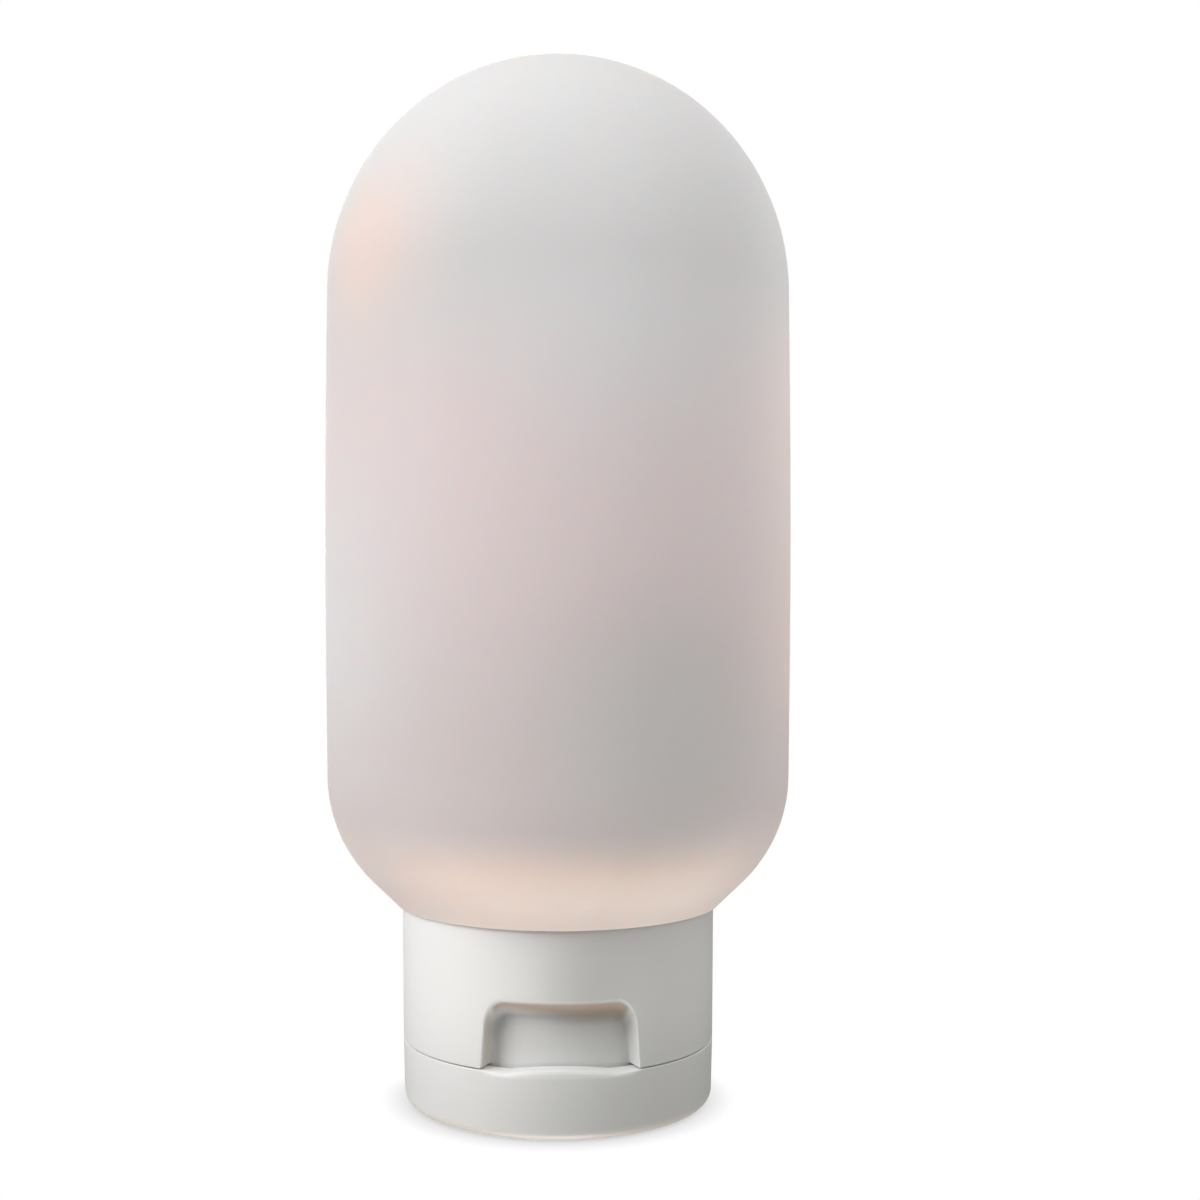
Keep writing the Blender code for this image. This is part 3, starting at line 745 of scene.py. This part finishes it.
def plastic_finish(name, white, grain, cloudy=0.0, painted_shade=None):
    """Moulded polypropylene with a fine satin grain."""
    finish = Finish(name)
    red, green, blue = white
    flow = finish.noise(*FLOW)
    satin = finish.noise(*SATIN)
    scuff = finish.ramp(finish.noise(*SCUFF), 0.62, 0.74)
    cream = (red, green * 0.985, blue * 0.955)
    plain = finish.mix(finish.ramp(flow, 0.35, 0.7) * 0.5, white, cream)
    finish.set(
        # Painted shade, where a function for it is given, goes over the plain colour
        Base_Color=painted_shade(finish, plain) if painted_shade else plain,
        Roughness=0.36 + satin * 0.08 + flow * 0.06 + scuff * 0.05,
        Normal=finish.bump(satin, grain),
        IOR=1.49,
        Subsurface_Weight=0.12 + cloudy,
        Subsurface_Scale=0.0008,
        Subsurface_Radius=(1.0, 0.9, 0.8),
    )
    return finish.material


def cap_finish(name, scene):
    """White plastic with the cap's painted shade."""
    sizes = scene.bottle_cap

    def painted_shade(finish, plain):
        return cap_painted_shade(finish, plain, sizes, cap_bottom(scene))

    return plastic_finish(name, sizes.white, SATIN_DEPTH, painted_shade=painted_shade)


def collar_finish(name, scene):
    """Milky plastic without pigment."""
    return plastic_finish(name, scene.bottle_thread.natural, COLLAR_DEPTH, cloudy=0.4)


def foam_finish(name, scene):
    """Closed-cell sealing foam with fine pores."""
    finish = Finish(name)
    foam = scene.bottle_thread.foam
    sockets = {"Vector": finish.place, "Scale": FOAM_CELLS_PER_METRE}
    cells = finish.node("ShaderNodeTexVoronoi", sockets)
    pore = finish.ramp(Amount(finish, cells.outputs["Distance"]), 0.1, 0.5)
    finish.set(
        # Painted shade: the pores are painted a tenth darker
        Base_Color=finish.mix(pore, [part * 0.9 for part in foam], foam),
        Roughness=0.62 + pore * 0.12,
        Normal=finish.bump(pore, PORE_DEPTH),
    )
    return finish.material


def floor_finish(settings):
    """A pale floor: clear to the eye with a soft contact shadow, and a plain bounce for the light."""
    finish = Finish("pale_floor")
    rays = finish.node("ShaderNodeLightPath").outputs
    contact = finish.node("ShaderNodeAmbientOcclusion", {"Distance": settings.shadow_reach}, samples=16)
    shadow = (1 - Amount(finish, contact.outputs["AO"])) * settings.shadow
    seen = finish.node("ShaderNodeBsdfTransparent", {"Color": finish.mix(shadow, (1, 1, 1), (0, 0, 0))})
    clear = finish.node("ShaderNodeBsdfTransparent")
    pale = finish.node("ShaderNodeBsdfDiffuse", {"Color": (*settings.bounce, 1)})
    sockets = {0: rays["Is Shadow Ray"], 1: pale.outputs[0], 2: clear.outputs[0]}
    unseen = finish.node("ShaderNodeMixShader", sockets)
    sockets = {0: rays["Is Camera Ray"], 1: unseen.outputs[0], 2: seen.outputs[0]}
    look = finish.node("ShaderNodeMixShader", sockets)
    finish.feed(finish.tree.nodes["Material Output"].inputs["Surface"], look.outputs[0])
    return finish.material


# The material that each slot gets: its name, and what makes it the first time
LOOKS = {
    "frosted_silicone": ("frosted_milky_silicone", silicone_finish),
    "cap_plastic": ("satin_cap_plastic", cap_finish),
    "natural_collar": ("milky_collar_plastic", collar_finish),
    "valve_silicone": ("milky_collar_plastic", collar_finish),
    "gasket_foam": ("white_sealing_foam", foam_finish),
}


# Pieces
class MakeSqueezeBody(Operator):
    """Turn the silicone body: dome, barrel, shoulder, land and the lip that holds the collar"""

    bl_idname = "travel_bottle.make_squeeze_body"
    bl_label = "Squeeze Body"

    def execute(self, context):
        sizes = context.scene.bottle_body
        outer = body_side(sizes, 0)
        inner = body_side(sizes, sizes.wall)
        lip = (sizes.lip_bore, FOOT)
        lip_top = (sizes.lip_bore, FOOT + sizes.wall)
        outline = outer[:-1]
        outline += fillet(outer[-2], outer[-1], lip, sizes.foot_fillet)
        outline += fillet(outer[-1], lip, lip_top, sizes.lip_fillet)
        outline += fillet(lip, lip_top, inner[-1], sizes.lip_fillet)
        outline += inner[::-1]
        bm = turned(outline, BODY_TURN_STEPS, closed=False)
        finish_piece(context, "silicone_body", bm, "frosted_silicone", ["squeeze_body"], "bottle")
        return {"FINISHED"}


def wrap(bm, radius, bottom, draft):
    """Bend a flat strip round the axis: X runs round the cap, Y is the depth below its surface."""
    for vert in bm.verts:
        angle = vert.co.x / radius
        lowered = (CAP_TOP - vert.co.z) / (CAP_TOP - bottom)
        reach = radius - vert.co.y - draft * lowered
        vert.co = (reach * math.sin(angle), -reach * math.cos(angle), vert.co.z)


def cap_bottom(scene):
    """Height of the cap's lower edge, a thin line above the lid."""
    return scene.bottle_lid.height + LINE_GAP


def unrolled(width, radius):
    """Half the length round the cap of a feature that is this wide seen from the front."""
    return radius * math.asin(width / (2 * radius))


def recess_block(sizes, radius, bottom):
    """The thumb recess as a flat block: leaning sides, rounded upper corners, sloped ceiling."""
    half_width = unrolled(sizes.recess_width, radius)
    top = bottom + sizes.recess_height
    middle = (bottom + top) / 2
    low = (-half_width, -OVERRUN, bottom - OVERRUN)
    bm = cuboid(low, (half_width, sizes.recess_depth, top))
    for vert in bm.verts:
        if vert.co.z > middle:
            vert.co.x *= sizes.recess_top_width / sizes.recess_width
            vert.co.z -= vert.co.y * sizes.recess_drop / sizes.recess_depth
        if vert.co.y > 0:
            vert.co.x += math.copysign(sizes.recess_flare, vert.co.x)
    corners = [
        edge
        for edge in bm.edges
        if all(vert.co.z > middle for vert in edge.verts) and edge.verts[0].co.x * edge.verts[1].co.x > 0
    ]
    bevelled(bm, corners, sizes.recess_corner, CORNER_SEGMENTS)
    inside = [
        edge
        for edge in bm.edges
        if lies_on(edge, Y, sizes.recess_depth) and any(vert.co.z > bottom for vert in edge.verts)
    ]
    bevelled(bm, inside, sizes.recess_hollow, RIM_SEGMENTS)
    return bm


class MakeCapShell(Operator):
    """Form the cap's outer wall flat, with the thumb recess in it, and bend it round the axis"""

    bl_idname = "travel_bottle.make_cap_shell"
    bl_label = "Cap Shell"

    def execute(self, context):
        sizes = context.scene.bottle_cap
        radius, top = BASE_HIGH.x, CAP_TOP
        bottom = cap_bottom(context.scene)
        half_turn = math.pi * radius
        inner = sizes.wall / 2
        skirt_depth = sizes.wall + sizes.wall_space
        deck_middle = (bottom + DECK_TOP) / 2
        half_boss = unrolled(sizes.recess_width, radius) + sizes.recess_rim
        boss_depth = skirt_depth + sizes.skirt_wall / 2
        boss_top = bottom + sizes.recess_height + sizes.recess_rim
        wall = cuboid((-half_turn, 0, bottom), (half_turn, sizes.wall, top))
        deck = cuboid((-half_turn, inner, bottom), (half_turn, skirt_depth + SINK, DECK_TOP))
        boss = cuboid((-half_boss, inner, deck_middle), (half_boss, boss_depth, boss_top))
        steps = [("UNION", deck), ("UNION", boss)]
        for index in range(sizes.rib_count):
            middle = half_turn * ((2 * index + 1) / sizes.rib_count - 1)
            low = (middle - sizes.rib_thickness / 2, inner, deck_middle)
            high = (middle + sizes.rib_thickness / 2, skirt_depth + SINK, DECK_TOP + sizes.rib_height)
            steps.append(("UNION", cuboid(low, high)))
        steps.append(("DIFFERENCE", recess_block(sizes, radius, bottom)))
        bm = combined(wall, steps)
        bmesh.ops.dissolve_limit(
            bm, angle_limit=FLAT_ANGLE, verts=bm.verts, edges=bm.edges, delimit={"NORMAL"}
        )

        def at_end(item):
            return all(abs(abs(vert.co.x) - half_turn) < ON_PLANE for vert in item.verts)

        front = [
            edge
            for edge in bm.edges
            if lies_on(edge, Y, 0) and not lies_on(edge, Z, bottom) and not at_end(edge)
        ]
        bevelled(bm, front, sizes.edge_fillet, RIM_SEGMENTS)
        lower = [edge for edge in bm.edges if lies_on(edge, Y, 0) and lies_on(edge, Z, bottom)]
        bevelled(bm, lower, sizes.line_fillet, RIM_SEGMENTS)
        bmesh.ops.delete(bm, geom=[face for face in bm.faces if at_end(face)], context="FACES")
        around = [half_turn * (2 * step / TURN_STEPS - 1) for step in range(1, TURN_STEPS)]
        slice_mesh(bm, (1, 0, 0), around)
        up = [bottom + (top - bottom) * step / HEIGHT_CUTS for step in range(1, HEIGHT_CUTS)]
        slice_mesh(bm, (0, 0, 1), up)
        wrap(bm, radius, bottom, sizes.draft)
        finish_piece(context, "cap_shell", bm, "cap_plastic", ["cap_base"], "cap")
        return {"FINISHED"}


class MakeCapCore(Operator):
    """Turn what the cap holds inside: skirt, snap ring, spout and the valve's pocket"""

    bl_idname = "travel_bottle.make_cap_core"
    bl_label = "Cap Core"

    def execute(self, context):
        sizes = context.scene.bottle_cap
        lid = context.scene.bottle_lid
        bottom, deck_top = cap_bottom(context.scene), DECK_TOP
        skirt_radius = BASE_HIGH.x - sizes.wall - sizes.wall_space
        skirt_bore = skirt_radius - sizes.skirt_wall
        skirt_top = BODY_LOW.z - SEAT_GAP - sizes.skirt_clearance
        snap_radius = LID_HIGH.x - lid.wall - SEAT_GAP
        snap_bottom = bottom - sizes.snap_height
        spout_radius = sizes.spout_bore + sizes.spout_wall
        pocket_bore = VALVE_HIGH.x + SEAT_GAP
        pocket_radius = pocket_bore + sizes.pocket_wall
        bead_bottom = RETAINER_HIGH.z + SEAM_GAP
        pocket_top = bead_bottom + sizes.bead_height
        soft = sizes.edge_fillet
        outline = rounded(
            [
                (skirt_radius, bottom),
                (snap_radius, bottom),
                (snap_radius, snap_bottom, soft),
                (snap_radius - sizes.snap_wall, snap_bottom, soft),
                (snap_radius - sizes.snap_wall, bottom, soft),
                (spout_radius, bottom, 2 * soft),
                (spout_radius, BASE_LOW.z, 1.5 * soft),
                (sizes.spout_bore, BASE_LOW.z, soft),
                (sizes.spout_bore, deck_top, soft),
                (pocket_bore, deck_top),
                (pocket_bore, bead_bottom),
                (pocket_bore - sizes.pocket_bead, bead_bottom + soft / 2),
                (pocket_bore - sizes.pocket_bead / 2, pocket_top),
                (pocket_radius, pocket_top, soft),
                (pocket_radius, deck_top, 2 * soft),
                (skirt_bore, deck_top, soft),
                (skirt_bore, skirt_top, soft),
                (skirt_radius, skirt_top, soft),
            ]
        )
        bm = turned(outline, TURN_STEPS)
        finish_piece(context, "cap_core", bm, "cap_plastic", ["cap_base"], "cap")
        return {"FINISHED"}


class MakeFlipLid(Operator):
    """Turn the flip lid with its plug, and raise the thumb lip on its rim"""

    bl_idname = "travel_bottle.make_flip_lid"
    bl_label = "Flip Lid"

    def execute(self, context):
        sizes = context.scene.bottle_lid
        radius, bore = LID_HIGH.x, LID_HIGH.x - sizes.wall
        plug_bore = sizes.plug_radius - sizes.plug_wall
        top, floor, rim = sizes.height, sizes.floor, sizes.rim_fillet
        round_low = top - sizes.lip_fillet
        ledge, side = [], []
        for step in range(1, LEDGE_STEPS):
            along = step / LEDGE_STEPS
            ledge.append((bore + rim + (radius - bore - 2 * rim) * along, top))
            height = top - rim - (sizes.lip_fillet - rim) * along
            side.append((radius - sizes.draft * (1 - height / top), height))
        outline = rounded(
            [
                (0, floor),
                (plug_bore, floor, rim),
                (plug_bore, LID_HIGH.z, rim),
                (sizes.plug_radius, LID_HIGH.z, 2 * rim),
                (sizes.plug_radius, floor, 2 * rim),
                (bore, floor, 3 * rim),
                (bore, top, rim),
                *ledge,
                (radius, top, rim),
                *side,
                (radius - sizes.draft, 0, sizes.foot_fillet),
                (0, 0),
            ],
            closed=False,
        )
        bm = turned(outline, TURN_STEPS, closed=False)
        half_lip = unrolled(sizes.lip_width, radius)
        half_recess = unrolled(context.scene.bottle_cap.recess_width, radius)
        start = radius - sizes.lip_fillet
        for vert in bm.verts:
            reach = math.hypot(vert.co.x, vert.co.y)
            if vert.co.z < round_low or reach < bore - ON_PLANE:
                continue
            around = math.atan2(vert.co.x, -vert.co.y) * radius
            # Full across the recess and gone beyond its sides
            rounding = max(0, 1 - (around / half_recess) ** 4) ** 0.5
            out, up = max(0, reach - start), vert.co.z - round_low
            if rounding > 0 and out > 0 and up > 0:
                shrink = 1 - rounding * (1 - max(out, up) / math.hypot(out, up))
                new_reach = start + out * shrink
                vert.co.x *= new_reach / reach
                vert.co.y *= new_reach / reach
                vert.co.z = round_low + up * shrink
            crown = max(0, 1 - (around / half_lip) ** 2) * up / sizes.lip_fillet
            vert.co.z += sizes.lip_rise * crown
        finish_piece(context, "lid", bm, "cap_plastic", ["flip_lid"], "lid")
        return {"FINISHED"}


def bend_with_lid(piece):
    """Bake the piece's place into its mesh."""
    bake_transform(piece)


class MakeLivingHinge(Operator):
    """Mould the ears, the two films that bend between them, and the snap strap"""

    bl_idname = "travel_bottle.make_living_hinge"
    bl_label = "Living Hinge"

    def ears(self, context, name, body, bottom):
        """Two small ledges behind the wall that carry the films."""
        sizes = context.scene.bottle_hinge
        back, top = FILM_LOW.y - SEAT_GAP, bottom + sizes.ear_height
        bm = bmesh.new()
        for low_x, high_x in ((FILM_LOW.x, FILM_HIGH.x), (-FILM_HIGH.x, -FILM_LOW.x)):
            cuboid((low_x, back - sizes.ear_depth, bottom), (high_x, back, top), bm)
        bevelled(bm, bm.edges[:], sizes.ear_fillet, EAR_SEGMENTS)
        finish_piece(context, name, bm, "cap_plastic", (), body)

    def film(self, context, name, node, low_x, high_x):
        """A web whose two feet grip the ears and whose middle bends."""
        gap = PARTING_GAP / 2
        inner, outer = FILM_LOW.y - SEAT_GAP - SINK, FILM_HIGH.y
        web = outer - context.scene.bottle_hinge.web
        bottom, top = FILM_LOW.z, FILM_HIGH.z
        outline = [
            (outer, top),
            (inner, top),
            (inner, HINGE.z + 2 * gap),
            (web, HINGE.z + gap),
            (web, HINGE.z - gap),
            (inner, HINGE.z - 2 * gap),
            (inner, bottom),
            (outer, bottom),
        ]
        bm = bmesh.new()
        face = bm.faces.new([bm.verts.new((low_x, depth, height)) for depth, height in outline])
        sweep(bm, [face], high_x - low_x)
        span = top - bottom
        slice_mesh(bm, (0, 0, 1), [bottom + span * step / FILM_STEPS for step in range(1, FILM_STEPS)])
        piece = finish_piece(context, name, bm, "cap_plastic", [node])
        bend_with_lid(piece)

    def strap(self, context):
        """A bowed band, thin at its two roots, that snaps the lid open and shut."""
        sizes = context.scene.bottle_hinge
        half_width, half_length = STRAP_HIGH.x, STRAP_HIGH.z - HINGE.z
        thickness, root_share = sizes.strap, sizes.strap_root
        root = BASE_HIGH.x - sizes.strap_sink
        peak = STRAP_HIGH.y - SINK
        bm = bmesh.new()
        outer, inner = [], []
        for step in range(STRAP_STEPS + 1):
            along = 2 * step / STRAP_STEPS - 1
            bow = math.cos(math.pi / 2 * along)
            height = HINGE.z + (half_length - thickness) * along
            thick = thickness * (root_share + (1 - root_share) * bow)
            depth = root + (peak - root) * bow ** sizes.strap_bow
            spread = thickness * STRAP_SPREAD * along
            outer.append(bm.verts.new((-half_width, depth, height + spread)))
            inner.append(bm.verts.new((-half_width, depth - thick, height)))
        corners = zip(outer, outer[1:], inner[1:], inner)
        sweep(bm, [bm.faces.new(quad) for quad in corners], 2 * half_width)
        bmesh.ops.recalc_face_normals(bm, faces=bm.faces)
        rims = [
            edge
            for edge in bm.edges
            if len(edge.link_faces) == 2 and edge.calc_face_angle(0) > STRAP_EDGE_ANGLE
            and abs(edge.verts[0].co.x - edge.verts[1].co.x) < ON_PLANE
        ]
        bevelled(bm, rims, sizes.strap_fillet, STRAP_SEGMENTS)
        piece = finish_piece(context, "hinge_strap", bm, "cap_plastic", ["snap_strap"])
        bend_with_lid(piece)

    def execute(self, context):
        sizes = context.scene.bottle_hinge
        clear = PARTING_GAP / 2 + sizes.ear_clearance
        self.ears(context, "cap_ears", "cap", HINGE.z + clear)
        self.ears(context, "lid_ears", "lid", HINGE.z - clear - sizes.ear_height)
        self.film(context, "hinge_web_right", "hinge_film_right", FILM_LOW.x, FILM_HIGH.x)
        self.film(context, "hinge_web_left", "hinge_film_left", -FILM_HIGH.x, -FILM_LOW.x)
        self.strap(context)
        return {"FINISHED"}


def thread(root, reach, start_angle, bottom, sizes):
    """A helical ridge that rises anticlockwise, fades in and out, and has closed ends."""
    steps = round(sizes.turns * THREAD_STEPS)
    half = sizes.width / 2
    crest = half / 2
    bm = bmesh.new()
    section = [(root, -half), (root + reach, -crest), (root + reach, crest), (root, half)]
    face = bm.faces.new([bm.verts.new((radius, 0, bottom + height)) for radius, height in section])
    rise = sizes.pitch * sizes.turns / steps
    bmesh.ops.spin(
        bm,
        geom=[face],
        cent=(0, 0, 0),
        axis=(0, 0, 1),
        dvec=(0, 0, rise),
        angle=math.tau * sizes.turns,
        steps=steps,
        use_merge=False,
    )
    for vert in bm.verts:
        along = (vert.co.z - bottom) / (sizes.pitch * sizes.turns)
        near_end = min(1, max(THREAD_END, min(along, 1 - along) / sizes.fade))
        flat = Vector((vert.co.x, vert.co.y))
        kept = root + (flat.length - root) * near_end
        flat *= kept / flat.length
        vert.co.x, vert.co.y = flat
    bmesh.ops.rotate(bm, verts=bm.verts, cent=(0, 0, 0), matrix=Matrix.Rotation(start_angle, 3, "Z"))
    return bm


class MakeNeck(Operator):
    """Turn the collar and its gasket, and wind the threads of the collar and the cap"""

    bl_idname = "travel_bottle.make_neck"
    bl_label = "Neck Collar and Threads"

    def execute(self, context):
        sizes = context.scene.bottle_thread
        cap = context.scene.bottle_cap
        bore, soft = sizes.neck_bore, sizes.fillet
        neck = bore + sizes.neck_wall
        outer_top = FOOT - SEAM_GAP
        inner_bottom = COLLAR_HIGH.z - sizes.flange
        inner_reach = neck + sizes.inner_flange_reach
        collar = rounded(
            [
                (bore, COLLAR_HIGH.z, soft),
                (inner_reach, COLLAR_HIGH.z, 2 * soft),
                (inner_reach, inner_bottom, soft),
                (neck, inner_bottom, soft),
                (neck, outer_top, soft),
                (COLLAR_HIGH.x, outer_top, soft),
                (COLLAR_HIGH.x, outer_top - sizes.flange, soft),
                (neck, outer_top - sizes.flange, soft),
                (neck, COLLAR_LOW.z, 1.5 * soft),
                (bore, COLLAR_LOW.z, soft),
            ]
        )
        bm = turned(collar, TURN_STEPS)
        finish_piece(context, "collar", bm, "natural_collar", ["neck_collar"], "bottle")
        thread_bottom = GASKET_HIGH.z + sizes.lead_in
        bm = thread(neck - SINK, sizes.reach + SINK, 0, thread_bottom, sizes)
        finish_piece(context, "collar_thread", bm, "natural_collar", (), "bottle")
        skirt_bore = BASE_HIGH.x - cap.wall - cap.wall_space - cap.skirt_wall
        bm = thread(skirt_bore + SINK, -sizes.reach - SINK, math.pi, thread_bottom, sizes)
        finish_piece(context, "cap_thread", bm, "cap_plastic", (), "cap")
        low, high = GASKET_LOW.z - SEATING, GASKET_HIGH.z + SEATING
        hole = bore - sizes.gasket_inset
        gasket = rounded(
            [(hole, high, soft), (GASKET_HIGH.x, high, soft), (GASKET_HIGH.x, low, soft), (hole, low, soft)]
        )
        bm = turned(gasket, TURN_STEPS)
        finish_piece(context, "gasket", bm, "gasket_foam", ["mouth_gasket"], "gasket")
        return {"FINISHED"}


class MakeValve(Operator):
    """Turn the valve's membrane, cut its crossed slits, and add the ring that holds it"""

    bl_idname = "travel_bottle.make_valve"
    bl_label = "Valve and Retainer"

    def execute(self, context):
        sizes = context.scene.bottle_valve
        membrane, soft = sizes.membrane, sizes.fillet
        low, radius = VALVE_LOW.z - SEATING, VALVE_HIGH.x
        flange_top = low + sizes.flange
        dish = []
        for step in range(DISH_STEPS + 1):
            along = step / DISH_STEPS
            dish.append((membrane * along, low + sizes.rise * (1 - along * along)))
        outline = [(reach, height + sizes.thickness) for reach, height in dish]
        outline += rounded(
            [(membrane, flange_top), (radius, flange_top, soft), (radius, low, soft), (membrane, low)],
            closed=False,
        )
        outline += dish[-2::-1]
        slits = []
        for reach_x, reach_y in ((sizes.slit_reach, sizes.slit_gap), (sizes.slit_gap, sizes.slit_reach)):
            corner = (reach_x, reach_y, VALVE_HIGH.z + OVERRUN)
            slits.append(("DIFFERENCE", cuboid((-reach_x, -reach_y, low - OVERRUN), corner)))
        bm = combined(turned(outline, VALVE_TURN_STEPS, closed=False), slits)
        finish_piece(context, "valve", bm, "valve_silicone", ["slit_valve"], "cap")
        bottom, top = flange_top + SEAM_GAP, RETAINER_HIGH.z
        ring = rounded(
            [
                (sizes.ring_top_bore, top, soft),
                (RETAINER_HIGH.x, top, soft),
                (RETAINER_HIGH.x, bottom, soft),
                (sizes.ring_bottom_bore, bottom, soft),
            ]
        )
        bm = turned(ring, RETAINER_TURN_STEPS)
        finish_piece(context, "retainer", bm, "natural_collar", ["valve_retainer"], "cap")
        return {"FINISHED"}


class MakeStage(Operator):
    """Set the floor, the lamps, the surroundings and the camera"""

    bl_idname = "travel_bottle.make_stage"
    bl_label = "Stage"

    def lamp(self, name, azimuth, elevation, distance, size, energy):
        """A square soft lamp that faces the bottle's middle."""
        light = bpy.data.lights.new(name, "AREA")
        light.shape = "SQUARE"
        light.size = size
        light.energy = energy
        obj = bpy.data.objects.new(name, light)
        around, up = math.radians(azimuth), math.radians(elevation)
        away = Vector((math.sin(around) * math.cos(up), -math.cos(around) * math.cos(up), math.sin(up)))
        obj.location = Vector((0, 0, BODY_HIGH.z / 2)) + away * distance
        obj.rotation_euler = (-away).to_track_quat("-Z", "Y").to_euler()
        obj.visible_camera = False
        bpy.context.scene.collection.objects.link(obj)

    def surroundings(self, ambient):
        """Light from all round; what looks at it directly or in a reflection sees white."""
        world = bpy.data.worlds.new("studio")
        world.use_nodes = True
        world.node_tree.nodes.clear()
        sky = Nodes(world.node_tree)
        rays = sky.node("ShaderNodeLightPath").outputs
        direct = sky.math("MAXIMUM", rays["Is Camera Ray"], rays["Is Glossy Ray"])
        either = sky.math("MAXIMUM", direct, rays["Is Transmission Ray"])
        soft = sky.node("ShaderNodeBackground", {"Color": (1, 1, 1, 1), "Strength": ambient})
        white = sky.node("ShaderNodeBackground", {"Color": (1, 1, 1, 1), "Strength": 1})
        both = sky.node("ShaderNodeMixShader", {0: either, 1: soft.outputs[0], 2: white.outputs[0]})
        sky.node("ShaderNodeOutputWorld", {"Surface": both.outputs[0]})
        bpy.context.scene.world = world

    def camera(self, settings):
        """A level camera in front of the bottle, a little to its left, with a shifted lens."""
        data = bpy.data.cameras.new("camera")
        data.lens = LENS
        data.sensor_width = SENSOR_WIDTH
        data.clip_start = CLIP_START
        data.shift_x = settings.camera_shift
        obj = bpy.data.objects.new("camera", data)
        side, distance = settings.camera_side, settings.camera_distance
        obj.location = (-distance * math.sin(side), -distance * math.cos(side), settings.camera_height)
        obj.rotation_euler = (math.pi / 2, 0, -side)
        bpy.context.scene.collection.objects.link(obj)
        bpy.context.scene.camera = obj

    def execute(self, context):
        settings = context.scene.bottle_stage
        bm = bmesh.new()
        bmesh.ops.create_grid(bm, x_segments=1, y_segments=1, size=FLOOR_HALF)
        floor = mesh_object("floor", bm)
        floor.data.materials.append(floor_finish(settings))
        for name, place in LAMPS.items():
            self.lamp(name, *place, getattr(settings, name + "_power"))
        self.surroundings(settings.ambient)
        self.camera(settings)
        context.scene.view_settings.view_transform = "Standard"
        return {"FINISHED"}


MAKERS = (
    MakeSqueezeBody,
    MakeCapShell,
    MakeCapCore,
    MakeFlipLid,
    MakeLivingHinge,
    MakeNeck,
    MakeValve,
    MakeStage,
)
GROUPS = {
    "bottle_body": BodySettings,
    "bottle_cap": CapSettings,
    "bottle_lid": LidSettings,
    "bottle_thread": ThreadSettings,
    "bottle_hinge": HingeSettings,
    "bottle_valve": ValveSettings,
    "bottle_stage": StageSettings,
}


class BottlePanel(Panel):
    """Lists the bottle's sizes and what builds each piece"""

    bl_idname = "VIEW3D_PT_travel_bottle"
    bl_label = "Travel Bottle"
    bl_space_type = "VIEW_3D"
    bl_region_type = "UI"
    bl_category = "Bottle"

    def draw(self, context):
        for maker in MAKERS:
            self.layout.operator(maker.bl_idname)
        for name, group in GROUPS.items():
            box = self.layout.box()
            box.label(text=name.replace("_", " ").title())
            for size in group.__annotations__:
                box.prop(getattr(context.scene, name), size, text=size.replace("_", " ").capitalize())


def register():
    for item in (*GROUPS.values(), *MAKERS, BottlePanel):
        bpy.utils.register_class(item)
    for name, group in GROUPS.items():
        setattr(bpy.types.Scene, name, PointerProperty(type=group))


def unregister():
    for name in GROUPS:
        delattr(bpy.types.Scene, name)
    for item in reversed((*GROUPS.values(), *MAKERS, BottlePanel)):
        bpy.utils.unregister_class(item)


def main():
    register()
    bpy.ops.travel_bottle.make_squeeze_body()
    bpy.ops.travel_bottle.make_cap_shell()
    bpy.ops.travel_bottle.make_cap_core()
    bpy.ops.travel_bottle.make_flip_lid()
    bpy.ops.travel_bottle.make_living_hinge()
    bpy.ops.travel_bottle.make_neck()
    bpy.ops.travel_bottle.make_valve()
    bpy.ops.travel_bottle.make_stage()


if __name__ == "__main__":
    main()
